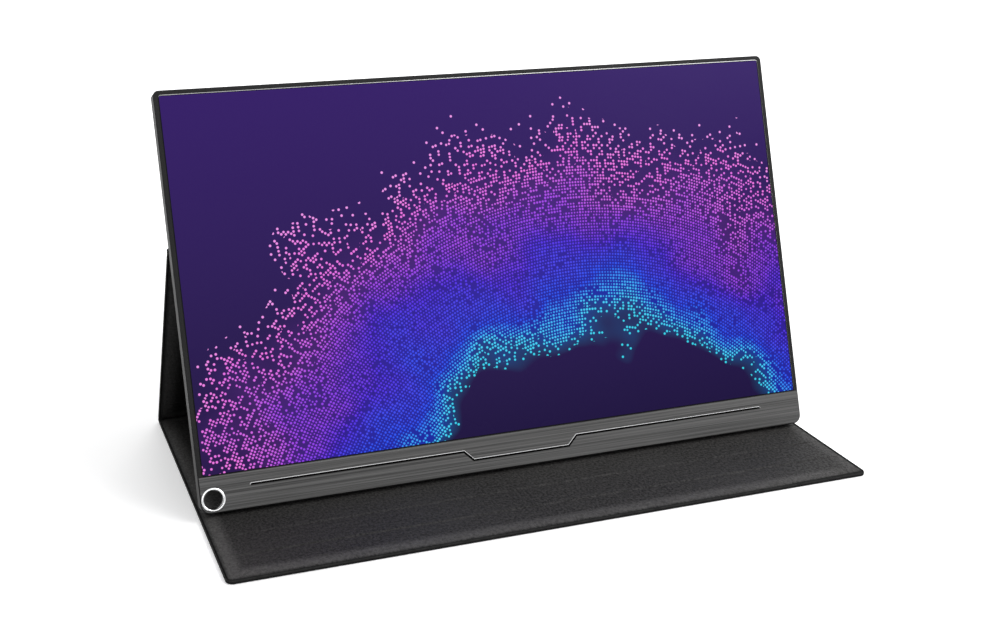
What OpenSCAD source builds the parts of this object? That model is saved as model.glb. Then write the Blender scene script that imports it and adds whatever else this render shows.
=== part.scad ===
// Slim 15.6 inch portable monitor standing on its folding cover, in millimetres.
// The cover lies on the table at z = 0. X runs along the hinge creases, Y to the rear, Z up.

/* [Monitor housing] */
// Width of the monitor across the front
mon_w = 352; // [330:1:370]
// Height of the monitor along its own face
mon_h = 217; // [212:1:232]
// Thickness of the monitor from front to back
mon_t = 10; // [9.6:0.1:13]
// Lean of the screen back from upright, in degrees
lean = 19.1; // [14:0.1:24]
// Corner radius at the two upper corners
corner_r_high = 3; // [2.5:0.5:6]
// Corner radius at the two lower corners
corner_r_low = 5; // [3:0.5:6]
// Bevel along the rear edges of the housing
rear_bevel = 1.2; // [0.6:0.1:1.6]
// Wall of the rear shell
shell_wall = 1.2; // [1:0.1:1.3]
// Thickness of the front frame
frame_t = 1.7; // [1.6:0.1:1.8]

/* [Screen] */
// Width of the dark rim at the sides and the top
rim_w = 2.6; // [2.2:0.1:4]
// Height of the chin below the screen
chin_h = 19.3; // [19:0.1:24]
// Thickness of the cover glass
glass_t = 0.8; // [0.5:0.1:0.9]
// Depth of the glass behind the front face
glass_recess = 0.3; // [0.1:0.1:0.4]
// Radius of the screen's two upper corners
screen_r = 1.5; // [0.5:0.1:2.5]
// Width of the ledge that carries the glass
ledge_w = 0.8; // [0.5:0.1:1]
// Thickness of the liquid crystal cell
cell_t = 0.9; // [0.7:0.05:1]
// Thickness of the stack of light films
film_t = 0.3; // [0.2:0.05:0.35]
// Thickness of the light guide plate
guide_t = 0.7; // [0.5:0.05:0.75]
// Thickness of the reflector sheet
reflector_t = 0.2; // [0.1:0.05:0.25]
// Thickness of the panel's sheet metal tray
tray_t = 0.35; // [0.2:0.05:0.4]

/* [Chin and pen hole] */
// Thickness of the brushed chin plate
chin_plate_t = 0.6; // [0.5:0.1:0.8]
// Border of the frame that shows round the chin plate
chin_border = 0.5; // [0.4:0.1:0.8]
// Width of the groove line in the chin
groove_line_w = 0.9; // [0.5:0.1:1.2]
// Depth of the groove line in the chin
groove_line_depth = 0.35; // [0.2:0.05:0.4]
// Half length of the groove line
groove_line_half = 149.3; // [120:1:155]
// Height of the groove line above the lower edge
groove_line_z = 12.3; // [11:0.1:14]
// Height of the dip in the groove line
groove_dip_z = 7.1; // [5:0.1:9]
// Half length of the dip at its bottom
groove_dip_half = 28; // [15:1:40]
// Inner radius of the pen hole
pen_hole_r = 4.8; // [4:0.1:4.9]
// Wall of the pen hole's sleeve
sleeve_wall = 0.7; // [0.5:0.1:0.7]
// How far the sleeve's lip covers the chin plate
lip_over = 0.7; // [0.3:0.1:0.8]
// How far the sleeve's lip stands proud
lip_proud = 0.3; // [0.2:0.05:0.4]
// Distance of the pen hole from the left side
pen_hole_x = 6.8; // [6.8:0.1:9]
// Distance of the pen hole from the lower edge
pen_hole_z = 7; // [6.9:0.1:8]

/* [Cover] */
// How far the cover stands out past the monitor on each side
cover_side = 0.5; // [0:0.1:2]
// Length of the front cover from the knee crease
front_l = 212; // [195:1:225]
// Length of the rear panel between its two creases
rear_l = 156; // [152:0.5:165]
// Height of the upper crease on the monitor's back
crease_up = 135; // [125:1:138]
// Length of the upper panel above its crease
upper_l = 80; // [55:1:84]
// Thickness of the outer skin
skin_t = 0.8; // [0.6:0.1:1]
// Thickness of the stiffening boards
board_t = 1.2; // [1.2:0.1:1.5]
// Thickness of the inner lining
lining_t = 1; // [0.9:0.1:1.1]
// Width of the pressed hem round the panels
hem_w = 6; // [4:0.5:9]
// Thickness of the hem at its outer edge
hem_t = 1.2; // [1:0.1:1.6]
// Corner radius of the cover's free corners
cover_r = 4; // [3:0.5:12]
// How far the upper panel stands in from the cover's sides
upper_inset = 3; // [0:0.5:8]
// Distance between the knee crease and the spine crease
spine_w = 17; // [14:0.5:18]
// Radius of the soft roll in each crease
crease_r = 0.9; // [0.7:0.05:0.95]
// Distance from a crease at which the panels start
crease_gap = 1.3; // [1.2:0.05:1.6]
// Distance from a crease at which the panels are at full thickness
crease_full = 3.4; // [3.4:0.1:4.5]

/* [Stand grooves] */
// Depth of the grooves that hold the monitor's edge
stand_depth = 0.6; // [0.4:0.1:0.6]
// Width of the grooves
stand_w = 4; // [4:0.1:6]
// Distance of the foremost groove from the front edge
stand_first = 22.7; // [15:0.1:26]
// Distance between the two free grooves
stand_pitch = 22; // [15:0.5:24]

/* [Ports and controls, right side] */
// Height of the upper charging port above the lower edge
usb_high_z = 110; // [108:1:114]
// Height of the lower charging port
usb_low_z = 93; // [91:1:96]
// Height of the video port
hdmi_z = 75; // [74:1:77]
// Height of the audio jack
jack_z = 58; // [57:0.5:59]
// Height of the power button
power_z = 44; // [43.5:0.5:45]
// Height of the thumb dial
dial_z = 31; // [30:0.5:31.5]
// Bore radius of the audio jack
jack_r = 1.8; // [1.76:0.01:1.85]
// Radius of the thumb dial
dial_r = 4.2; // [3.9:0.1:4.3]
// Thickness of the thumb dial
dial_t = 2.2; // [1.6:0.1:2.4]
// How far the dial stands out of the side
dial_proud = 0.8; // [0.5:0.1:1]
// How far the power button stands out of the side
button_proud = 0.4; // [0.3:0.05:0.6]
// Length of the power button
button_l = 9; // [7:0.5:9]
// Width of the power button
button_w = 2.4; // [2:0.1:2.8]
// Travel of the power button
button_travel = 0.4; // [0.3:0.05:0.5]
// Travel of the dial when it is pressed
dial_travel = 0.35; // [0.2:0.05:0.4]

/* [Boards and small parts] */
// Thickness of the circuit boards
pcb_t = 1; // [0.8:0.1:1.2]
// Height of the standoffs under the boards
standoff_h = 0.4; // [0.3:0.1:0.6]
// Width of the main board without its port tab
mainboard_w = 24; // [22:1:30]
// Height of the main board
mainboard_h = 100; // [98:1:104]
// Length of the panel driver board
driver_l = 160; // [120:2:170]
// Length of each speaker
speaker_l = 44; // [36:1:46]
// Length of the cover magnets
magnet_l = 20; // [12:1:24]
// Width of the cover magnets
magnet_w = 8; // [6:0.5:10]

/* [Clearances] */
// Gap between the monitor's back and the cover
panel_gap = 0.15; // [0.1:0.05:0.3]
// Gap under the monitor's lower edge in its groove
edge_gap = 0.1; // [0.05:0.05:0.2]
// Gap round the glass and the chin plate
trim_gap = 0.1; // [0.05:0.05:0.15]
// Gap between a moving control and its opening
control_gap = 0.15; // [0.1:0.05:0.25]
// Radial gap of sleeves and screws in their holes
seat_gap = 0.05; // [0.02:0.01:0.08]
// Running gap of the dial on its pin
running_gap = 0.05; // [0.03:0.01:0.08]

/* [Hidden] */

$fn = 48;
tiny = 0.01;
through = 1;

cover_w = mon_w + 2 * cover_side;

// Cover section: skin below, board between, lining above, about the mid-plane of the crease
cover_t = skin_t + board_t + lining_t;
skin_top = skin_t - cover_t / 2;
board_top = skin_top + board_t;
hem_top = hem_t - cover_t / 2;
hem_crown = 0.35;
hem_crown_top = hem_top + 0.65 * (cover_t / 2 - hem_top);
crease_crown = crease_gap + hem_crown * (crease_full - crease_gap);
upper_w = cover_w - 2 * upper_inset;
board_inset = hem_w + 1.5;
board_end = crease_full + 0.4;
board_gap = 0.02;

// Stand geometry, worked out from the lengths of the panels
groove_z = cover_t - stand_depth;
edge_lift = (mon_t - rear_bevel) * sin(lean);
mon_z = groove_z + edge_gap + edge_lift;
crease_depth = mon_t + panel_gap + cover_t / 2;
upper_crease_z = mon_z + crease_up * cos(lean) - crease_depth * sin(lean);
rear_rise = upper_crease_z - cover_t / 2;
rear_angle = 180 - asin(rear_rise / rear_l);
knee_y = (front_l - crease_r) / 2;
upper_crease_y = knee_y + rear_l * cos(rear_angle);
mon_y = upper_crease_y - crease_up * sin(lean) - crease_depth * cos(lean);
stand_y = mon_y + (mon_t - rear_bevel) * cos(lean);
stand_lead = 2.4;

// Depths of the layers behind the front face
glass_back = glass_recess + glass_t;
cell_y = frame_t;
film_y = cell_y + cell_t;
guide_y = film_y + film_t;
reflector_y = guide_y + guide_t;
tray_y = reflector_y + reflector_t;
tray_back = tray_y + tray_t;
back_in = mon_t - shell_wall;
board_y = back_in - standoff_h - pcb_t;

// Outlines seen from the front
side_x = mon_w / 2;
side_in = side_x - shell_wall;
top_in = mon_h - shell_wall;
open_w = mon_w - 2 * rim_w;
open_h = mon_h - chin_h - rim_w;
panel_border = 1.6;
panel_side = 0.5;
panel_low = chin_h - 4.3;
panel_w = 2 * (side_in - panel_side);
panel_h = top_in - panel_side - panel_low;
film_low = panel_low + panel_border + 2;
pen_x = -side_x + pen_hole_x;
sleeve_r = pen_hole_r + sleeve_wall;

// Ports, switches and boards behind the right side
usb_l = 8.94;
usb_h = 3.16;
port_depth = 7.35;
hdmi_l = 11.2;
port_flush = 0.05;
port_y = board_y - usb_h / 2;
board_right = side_x - 12;
board_low = 22;
tab_low = jack_z + 6;
jack_body = mon_t - shell_wall - tray_back - 0.1;
jack_y = back_in - 0.05 - jack_body / 2;
jack_depth = 12;
control_y = (tray_back + back_in) / 2;
dial_x = side_x + dial_proud - dial_r;
dial_pin_r = 0.8;
fork_base_t = 0.6;
fork_gap = 0.05;
key_x = dial_x - dial_r - 0.2 - fork_base_t - dial_travel - fork_gap - pcb_t;
screw_in = 24;
screw_pitch = 57;
screw_outer = side_x - screw_in;
screw_inner = screw_outer - screw_pitch;
screw_xs = [-screw_outer, -screw_inner, screw_inner, screw_outer];
screw_z = 9.5;
screw_r = 1;
screw_l = 5;
screw_head_r = 2;
screw_head_t = 0.6;
board_screw_r = 0.7;
driver_low = 2.5;
driver_h = 11;
flex_pitch = 42;
flex_w = 36;
cable_w = 8;
cable_inset = 18;
cable_turn_z = 28;
board_screw_zs = [board_low + 4, board_low + mainboard_h - 4];
speaker_in = 53;
speaker_x = side_x - speaker_in;
speaker_w = 13;
speaker_slot_w = 1.2;
speaker_slot_pitch = 2.6;
speaker_t = mon_t - shell_wall - tray_back - 0.2;
magnet_t = 1;
magnet_pitch = 84;
strip_t = 0.5;
rib_t = 1.2;
rib_down = 30;
shield_w = 17;
shield_h = 30;
shield_z = 34;
shield_t = 0.2;
rib_low = 50;
rib_pitch = 55;
rib_left = 26 - side_x;
rib_right = board_right - mainboard_w - 20;

// Frames: each panel and the monitor are drawn flat and then placed
module place_front_cover() translate([0, knee_y, cover_t / 2]) children();
module place_rear_panel() translate([0, knee_y, cover_t / 2]) rotate([rear_angle, 0, 0]) children();
module place_upper_panel()
    translate([0, upper_crease_y, upper_crease_z]) rotate([90 - lean, 0, 0]) children();
module place_monitor() translate([0, mon_y, mon_z]) rotate([-lean, 0, 0]) children();

// Upright slab of an outline between two depths of the monitor
module slab(near, far) {
    translate([0, far, 0]) rotate([90, 0, 0]) linear_extrude(far - near) children();
}

// Rectangle standing on the origin with its own radius at the lower and the upper corners
module upright_outline(w, h, r_low, r_high) {
    translate([-w / 2, r_low]) square([w, h - r_low - r_high]);
    translate([-w / 2 + r_low, 0]) square([w - 2 * r_low, h / 2]);
    translate([-w / 2 + r_high, h / 2]) square([w - 2 * r_high, h / 2]);
    for (side = [-1, 1]) {
        translate([side * (w / 2 - r_low), r_low]) circle(r_low);
        translate([side * (w / 2 - r_high), h - r_high]) circle(r_high);
    }
}

// Slot outline with round ends, centred, long in its second direction
module slot_outline(l, w) {
    square([w, l - w], center = true);
    for (end = [-1, 1])
        translate([0, end * (l - w) / 2]) circle(w / 2);
}

// Solid with a given outline in the side wall, standing along X between two places
module side_solid(y, z, from_x, to_x) {
    translate([from_x, y, z]) rotate([90, 0, 90]) linear_extrude(to_x - from_x) children();
}

// Outline of a panel in its own plane, from one crease to a free end with round corners
module free_panel_outline(start, end, w, r) {
    translate([-w / 2, start]) square([w, end - start - r]);
    translate([-w / 2 + r, start]) square([w - 2 * r, end - start]);
    for (side = [-1, 1])
        translate([side * (w / 2 - r), end - r]) circle(r, $fn = 32);
}

// Outline of a panel between two creases
module joined_panel_outline(start, end, w) {
    translate([-w / 2, start]) square([w, end - start]);
}

// Steps of the lining's slope: share of the hem's width, distance from a crease, height
lining_steps = [
    [0, crease_gap, hem_top],
    [hem_crown, crease_crown, hem_crown_top],
    [1, crease_full, cover_t / 2]
];

// Lining of a free panel: it falls in a rounded slope to the hem and to the crease
module free_lining(end, w) {
    hull()
        for (step = lining_steps)
            translate([0, 0, skin_top]) linear_extrude(step[2] - skin_top)
                free_panel_outline(
                    step[1],
                    end - step[0] * hem_w,
                    w - 2 * step[0] * hem_w,
                    max(cover_r - step[0] * hem_w, 1)
                );
}

module joined_lining(end) {
    hull()
        for (step = lining_steps)
            translate([0, 0, skin_top]) linear_extrude(step[2] - skin_top)
                joined_panel_outline(step[1], end - step[1], cover_w - 2 * step[0] * hem_w);
}

// Board between the skin and the lining, with its fit in the lining when grown
module board(start, end, grow = 0, w = cover_w) {
    board_w = w - 2 * board_inset + 2 * grow;
    translate([-board_w / 2, start - grow, skin_top - grow])
        cube([board_w, end - start + 2 * grow, board_t + 2 * grow]);
}

// Magnets let into the middle of a board
module magnet_row(y, count, grow = 0) {
    for (i = [0:count - 1])
        translate([
            (i - (count - 1) / 2) * magnet_pitch - magnet_l / 2 - grow,
            y - magnet_w / 2 - grow,
            board_top - magnet_t - grow
        ])
            cube([magnet_l + 2 * grow, magnet_w + 2 * grow, magnet_t + 2 * grow]);
}

// Front cover

module front_cover_skin() {
    color([0.05, 0.05, 0.055]) place_front_cover() rotate([0, 0, 180])
        translate([0, 0, -cover_t / 2]) linear_extrude(skin_t)
            free_panel_outline(crease_gap, front_l, cover_w, cover_r);
}

front_magnet_y = front_l - board_inset - 7;

module front_cover_board() {
    color([0.35, 0.3, 0.24]) place_front_cover() rotate([0, 0, 180])
        difference() {
            board(board_end, front_l - board_inset);
            magnet_row(front_magnet_y, 3, board_gap);
        }
}

// The lining holds the three grooves: one under the monitor's edge and two for flatter poses
module front_cover_lining() {
    color([0.17, 0.17, 0.17]) place_front_cover() rotate([0, 0, 180])
        difference() {
            free_lining(front_l, cover_w);
            board(board_end, front_l - board_inset, board_gap);
            stand_groove(knee_y - stand_y + stand_lead - stand_w);
            for (i = [0:1])
                stand_groove(front_l - stand_first - i * stand_pitch - stand_w / 2);
        }
}

module stand_groove(y) {
    w = cover_w + 2 * through;
    translate([-w / 2, y, cover_t / 2 - stand_depth]) cube([w, stand_w, stand_depth + through]);
}

module front_cover_magnets() {
    color([0.7, 0.7, 0.72]) place_front_cover() rotate([0, 0, 180]) magnet_row(front_magnet_y, 3);
}

module crease_roll() {
    l = cover_w - 2;
    translate([-l / 2, 0, 0]) rotate([0, 90, 0]) cylinder(r = crease_r, h = l);
}

module knee_crease() {
    color([0.05, 0.05, 0.055]) place_front_cover() crease_roll();
}

// Rear panel: spine and lower back between the knee and the upper crease

spine_valley = 1.4;

module spine_press(depth) {
    translate([0, spine_w, 0]) rotate([0, 90, 0])
        linear_extrude(cover_w + 2 * through, center = true)
            polygon([[0, -spine_valley], [0, spine_valley], [depth, 0]]);
}

module rear_panel_skin() {
    color([0.05, 0.05, 0.055]) place_rear_panel()
        difference() {
            translate([0, 0, -cover_t / 2]) linear_extrude(skin_t)
                joined_panel_outline(crease_gap, rear_l - crease_gap, cover_w);
            translate([0, 0, -cover_t / 2 - tiny]) mirror([0, 0, 1]) spine_press(skin_t / 2);
        }
}

module spine_board() {
    color([0.35, 0.3, 0.24]) place_rear_panel() board(board_end, spine_w - 2);
}

module lower_back_board() {
    color([0.35, 0.3, 0.24]) place_rear_panel() board(spine_w + 2, rear_l - board_end);
}

module rear_panel_lining() {
    color([0.1, 0.1, 0.1]) place_rear_panel()
        difference() {
            joined_lining(rear_l);
            board(board_end, spine_w - 2, board_gap);
            board(spine_w + 2, rear_l - board_end, board_gap);
            translate([0, 0, cover_t / 2 + tiny]) spine_press(0.6);
        }
}

module upper_crease() {
    color([0.05, 0.05, 0.055]) place_upper_panel() crease_roll();
}

// Upper panel: the magnets hold it flat on the monitor's back

upper_magnet_y = upper_l / 2 + 4;

module upper_panel_skin() {
    color([0.05, 0.05, 0.055]) place_upper_panel()
        translate([0, 0, -cover_t / 2]) linear_extrude(skin_t)
            free_panel_outline(crease_gap, upper_l, upper_w, cover_r);
}

module upper_back_board() {
    color([0.35, 0.3, 0.24]) place_upper_panel()
        difference() {
            board(board_end, upper_l - board_inset, 0, upper_w);
            magnet_row(upper_magnet_y, 4, board_gap);
        }
}

module upper_panel_lining() {
    color([0.1, 0.1, 0.1]) place_upper_panel()
        difference() {
            free_lining(upper_l, upper_w);
            board(board_end, upper_l - board_inset, board_gap, upper_w);
        }
}

module upper_panel_magnets() {
    color([0.7, 0.7, 0.72]) place_upper_panel() magnet_row(upper_magnet_y, 4);
}

// Monitor housing

module housing_outline(inset) {
    translate([0, inset])
        upright_outline(
            mon_w - 2 * inset,
            mon_h - 2 * inset,
            max(corner_r_low - inset, 0.5),
            max(corner_r_high - inset, 0.5)
        );
}

module case_screw_at(x) translate([x, mon_t, screw_z]) rotate([90, 0, 0]) children();

module side_openings() {
    wall_from = side_in - 2.4;
    for (z = [usb_high_z, usb_low_z])
        side_solid(port_y, z, wall_from, side_x + through)
            slot_outline(usb_l + 2 * seat_gap, usb_h + 2 * seat_gap);
    side_solid(port_y, hdmi_z, wall_from, side_x + through) hdmi_outline(seat_gap);
    side_solid(jack_y, jack_z, wall_from, side_x + through) circle(jack_r + 0.5 + seat_gap);
    side_solid(control_y, power_z, wall_from, side_x + through)
        slot_outline(button_l + 2 * control_gap, button_w + 2 * control_gap);
    side_solid(control_y, dial_z, wall_from, side_x + through)
        square([dial_t + 2 * control_gap, 2 * dial_slot_half], center = true);
}

// Half height of the dial's opening: the dial's chord at the inner wall, with its gap
dial_slot_half = sqrt(pow(dial_r, 2) - pow(side_in - dial_x, 2)) + control_gap + dial_travel;

// Openings under each speaker in the lower wall
module speaker_slots() {
    for (side = [-1, 1], i = [-7:7])
        translate([
            side * speaker_x + i * speaker_slot_pitch - speaker_slot_w / 2,
            control_y - 1.6,
            -through
        ])
            cube([speaker_slot_w, 3.2, shell_wall + 2 * through]);
}

module rear_shell() {
    color([0.34, 0.35, 0.36]) place_monitor() {
        difference() {
            hull() {
                slab(frame_t, mon_t - rear_bevel) housing_outline(0, $fn = 32);
                slab(frame_t, mon_t) housing_outline(rear_bevel, $fn = 32);
            }
            slab(frame_t - through, back_in) housing_outline(shell_wall);
            side_openings();
            speaker_slots();
            translate([pen_x, 0, pen_hole_z]) rotate([-90, 0, 0])
                cylinder(r = sleeve_r + seat_gap, h = mon_t + through);
            for (x = screw_xs)
                case_screw_at(x) {
                    translate([0, 0, -through])
                        cylinder(r = screw_head_r + seat_gap, h = through + screw_head_t);
                    cylinder(r = screw_r + seat_gap, h = shell_wall + through);
                }
        }
        shell_ribs();
        board_standoffs();
    }
}

// Ribs on the back wall that carry the panel's tray
module shell_ribs() {
    rib_h = back_in - tray_back;
    span = rib_right - rib_left;
    for (i = [0:2]) {
        translate([rib_left, tray_back, rib_low + i * rib_pitch]) cube([span, rib_h, rib_t]);
        translate([rib_left + i * (span - rib_t) / 2, tray_back, rib_low])
            cube([rib_t, rib_h, 2 * rib_pitch + rib_t]);
    }
    translate([-span / 4, tray_back, mon_h - rib_down]) cube([span / 2, rib_h, rib_t]);
}

module board_standoffs() {
    for (p = concat(mainboard_holes, driver_holes))
        translate([p[0], back_in - standoff_h, p[1]]) rotate([-90, 0, 0])
            difference() {
                cylinder(r = 2.2, h = standoff_h + tiny);
                translate([0, 0, -through])
                    cylinder(r = board_screw_r + seat_gap, h = through + standoff_h - 0.05);
            }
}

mainboard_holes = [
    for (x = [board_right - mainboard_w + 3, board_right - 4], z = board_screw_zs) [x, z]
];
driver_holes = [for (side = [-1, 1]) [side * (driver_l / 2 - 4), driver_low + driver_h / 2]];

module front_frame() {
    color([0.16, 0.16, 0.17]) place_monitor() {
        difference() {
            hull() {
                slab(0.4, frame_t) housing_outline(0, $fn = 32);
                slab(0, frame_t) housing_outline(0.4, $fn = 32);
            }
            slab(-through, glass_back) translate([0, chin_h]) screen_outline(open_w, open_h, screen_r);
            slab(-through, frame_t + through) translate([0, chin_h + ledge_w])
                square_up(open_w - 2 * ledge_w, open_h - 2 * ledge_w);
            hull() {
                slab(-tiny, tiny) translate([0, chin_h + 0.4])
                    screen_outline(open_w + 0.8, open_h, screen_r + 0.4);
                slab(-tiny, 0.4) translate([0, chin_h + 0.4])
                    screen_outline(open_w, open_h - 0.4, screen_r);
            }
            slab(-through, chin_plate_t) chin_outline(0);
            translate([pen_x, -through, pen_hole_z]) rotate([-90, 0, 0])
                cylinder(r = sleeve_r + seat_gap, h = mon_t);
        }
        for (x = screw_xs) screw_post(x);
    }
}

module square_up(w, h) translate([-w / 2, 0]) square([w, h]);

// Upright rectangle whose two upper corners are round
module screen_outline(w, h, r) {
    square_up(w, h - r);
    square_up(w - 2 * r, h);
    for (side = [-1, 1])
        translate([side * (w / 2 - r), h - r]) circle(r, $fn = 24);
}

// Post behind the chin that takes one case screw
module screw_post(x) {
    translate([x, frame_t - tiny, screw_z]) rotate([-90, 0, 0])
        difference() {
            cylinder(r = 2.6, h = back_in - frame_t - seat_gap);
            translate([0, 0, 1]) cylinder(r = screw_r + seat_gap, h = mon_t);
        }
}

module chin_outline(inset) {
    edge = chin_border + inset;
    r = max(corner_r_low - edge, 0.5);
    translate([0, edge]) {
        w = mon_w - 2 * edge;
        h = chin_h - 0.2 - edge - inset;
        translate([-w / 2, r]) square([w, h - r]);
        translate([-w / 2 + r, 0]) square([w - 2 * r, h]);
        for (side = [-1, 1])
            translate([side * (w / 2 - r), r]) circle(r);
    }
}

// Line with a dip in its middle, cut as a ribbon of constant width
module groove_line() {
    slope = groove_line_z - groove_dip_z;
    half = groove_line_w / 2;
    bend = half * tan(22.5);
    top = [
        [-groove_line_half, groove_line_z + half],
        [-groove_dip_half - slope + bend, groove_line_z + half],
        [-groove_dip_half + bend, groove_dip_z + half],
        [groove_dip_half - bend, groove_dip_z + half],
        [groove_dip_half + slope - bend, groove_line_z + half],
        [groove_line_half, groove_line_z + half]
    ];
    low = [
        [groove_line_half, groove_line_z - half],
        [groove_dip_half + slope + bend, groove_line_z - half],
        [groove_dip_half + bend, groove_dip_z - half],
        [-groove_dip_half - bend, groove_dip_z - half],
        [-groove_dip_half - slope - bend, groove_line_z - half],
        [-groove_line_half, groove_line_z - half]
    ];
    polygon(concat(top, low));
}

module chin_plate() {
    color([0.33, 0.34, 0.35]) place_monitor()
        difference() {
            slab(0, chin_plate_t) chin_outline(trim_gap);
            slab(-through, groove_line_depth) groove_line();
            translate([pen_x, -through, pen_hole_z]) rotate([-90, 0, 0])
                cylinder(r = sleeve_r + seat_gap, h = mon_t);
        }
}

// Polished sleeve with a rolled lip on the front
module pen_hole_sleeve() {
    lip_r = sleeve_r + lip_over;
    color([0.85, 0.86, 0.88]) place_monitor()
        translate([pen_x, 0, pen_hole_z]) rotate([-90, 0, 0])
            rotate_extrude()
                polygon([
                    [pen_hole_r, -lip_proud],
                    [pen_hole_r + sleeve_wall, -lip_proud],
                    [lip_r - 0.3, -lip_proud * 0.6],
                    [lip_r, 0],
                    [sleeve_r, 0],
                    [sleeve_r, mon_t],
                    [pen_hole_r, mon_t]
                ]);
}

// Display panel, front to back

module cover_glass() {
    color([0.12, 0.08, 0.3]) place_monitor()
        slab(glass_recess, glass_back - 0.02) translate([0, chin_h + trim_gap])
            screen_outline(open_w - 2 * trim_gap, open_h - 2 * trim_gap, screen_r - trim_gap);
}

module lcd_cell() {
    low = panel_low + 2.8;
    color([0.08, 0.08, 0.1]) place_monitor()
        slab(cell_y, film_y) translate([0, low])
            square_up(panel_w - 2 * panel_border + 1.4, panel_low + panel_h - panel_border + 0.7 - low);
}

module film_area() {
    translate([0, film_low])
        square_up(
            panel_w - 2 * panel_border - 2 * trim_gap,
            panel_low + panel_h - panel_border - trim_gap - film_low
        );
}

module film_stack() {
    color([0.9, 0.92, 0.93]) place_monitor() slab(film_y, guide_y) film_area();
}

module light_guide() {
    color([0.8, 0.88, 0.9, 0.6]) place_monitor() slab(guide_y, reflector_y) film_area();
}

module reflector_sheet() {
    color([0.95, 0.95, 0.95]) place_monitor() slab(reflector_y, tray_y) film_area();
}

// Light bar along the lower edge of the light guide
module led_bar() {
    led_w = 1.6;
    bar_l = panel_w - 2 * panel_border - 4;
    low = panel_low + panel_border + 0.1;
    color([0.9, 0.85, 0.6]) place_monitor() {
        slab(reflector_y, tray_y) translate([0, low]) square_up(bar_l, led_w);
        for (i = [-20:20])
            translate([i * bar_l / 42 - 1.9, guide_y, low]) cube([3.8, guide_t + tiny, led_w]);
    }
}

module panel_frame() {
    color([0.2, 0.2, 0.2]) place_monitor()
        slab(film_y, tray_y)
            difference() {
                translate([0, panel_low]) square_up(panel_w, panel_h);
                translate([0, panel_low + panel_border])
                    square_up(panel_w - 2 * panel_border, panel_h - 2 * panel_border);
            }
}

module panel_tray() {
    color([0.6, 0.6, 0.62]) place_monitor()
        slab(tray_y, tray_back) translate([0, panel_low]) square_up(panel_w, panel_h);
}

// Steel strips on the inside of the back wall, opposite the upper panel's magnets
module steel_strips() {
    strip_z = crease_up + upper_magnet_y - magnet_w;
    color([0.5, 0.5, 0.52]) place_monitor()
        for (i = [0:3])
            translate([(i - 1.5) * magnet_pitch - magnet_l * 0.7, back_in - strip_t, strip_z])
                cube([magnet_l * 1.4, strip_t, magnet_w * 2 - 2]);
}

// Electronics

module mainboard() {
    color([0.05, 0.3, 0.16]) place_monitor()
        difference() {
            slab(board_y, board_y + pcb_t) {
                translate([board_right - mainboard_w, board_low]) square([mainboard_w, mainboard_h]);
                translate([board_right - tiny, tab_low])
                    square([side_in - 4.2 - board_right, board_low + mainboard_h - tab_low]);
            }
            for (p = mainboard_holes)
                translate([p[0], 0, p[1]]) rotate([-90, 0, 0])
                    cylinder(r = board_screw_r + 0.3, h = mon_t);
        }
}

module board_shield() {
    can_h = 1.8;
    color([0.75, 0.76, 0.78]) place_monitor()
        translate([board_right - mainboard_w + 2, board_y - can_h, board_low + shield_z]) {
            difference() {
                cube([shield_w, can_h, shield_h]);
                translate([shield_t, shield_t, shield_t])
                    cube([shield_w - 2 * shield_t, can_h, shield_h - 2 * shield_t]);
            }
            translate([shield_w / 4, 0.7, shield_h / 4]) cube([shield_w / 2, can_h - 0.7, shield_h / 2]);
        }
}

module usb_c_port(z) {
    inner_w = 2.56;
    floor_x = side_x - port_depth;
    color([0.75, 0.76, 0.78]) place_monitor() {
        difference() {
            side_solid(port_y, z, floor_x, side_x - port_flush) slot_outline(usb_l, usb_h);
            side_solid(port_y, z, floor_x + 0.6, side_x + through)
                slot_outline(usb_l - usb_h + inner_w, inner_w);
        }
        translate([floor_x + 0.5, port_y - 0.35, z - 3.35]) cube([5.4, 0.7, 6.7]);
    }
}

module usb_c_port_upper() usb_c_port(usb_high_z);
module usb_c_port_lower() usb_c_port(usb_low_z);

// Wide at the front of the housing and narrower behind, with two cut corners
module hdmi_outline(grow) {
    half = hdmi_l / 2 + grow;
    half_w = usb_h / 2 + grow;
    polygon([
        [-half_w, -half],
        [0, -half],
        [half_w, -half + 1.6],
        [half_w, half - 1.6],
        [0, half],
        [-half_w, half]
    ]);
}

module mini_hdmi_port() {
    floor_x = side_x - port_depth;
    color([0.75, 0.76, 0.78]) place_monitor() {
        difference() {
            side_solid(port_y, hdmi_z, floor_x, side_x - port_flush) hdmi_outline(0);
            side_solid(port_y, hdmi_z, floor_x + 0.6, side_x + through) hdmi_outline(-0.35);
        }
        translate([floor_x + 0.5, port_y - 0.4, hdmi_z - 3.8]) cube([5.4, 0.8, 7.6]);
    }
}

module audio_jack() {
    body_x = side_in - 0.1;
    color([0.1, 0.1, 0.1]) place_monitor()
        difference() {
            union() {
                translate([side_x - jack_depth, jack_y - jack_body / 2, jack_z - 3])
                    cube([body_x - side_x + jack_depth, jack_body, 6]);
                side_solid(jack_y, jack_z, body_x - tiny, side_x - port_flush) circle(jack_r + 0.5);
            }
            side_solid(jack_y, jack_z, side_x - jack_depth + 0.8, side_x + through) circle(jack_r);
        }
}

module key_board() {
    color([0.05, 0.3, 0.16]) place_monitor()
        translate([key_x, tray_back + 0.1, dial_z - 7])
            cube([pcb_t, back_in - tray_back - 0.1, power_z - dial_z + 12]);
}

switch_x = key_x + pcb_t;
switch_top = switch_x + 3.6;

module power_switch() {
    color([0.12, 0.12, 0.13]) place_monitor() {
        translate([switch_x, control_y - 1.8, power_z - 2.4]) cube([2.8, 3.6, 4.8]);
        side_solid(control_y, power_z, switch_x + 2.8 - tiny, switch_top) circle(1);
    }
}

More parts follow.
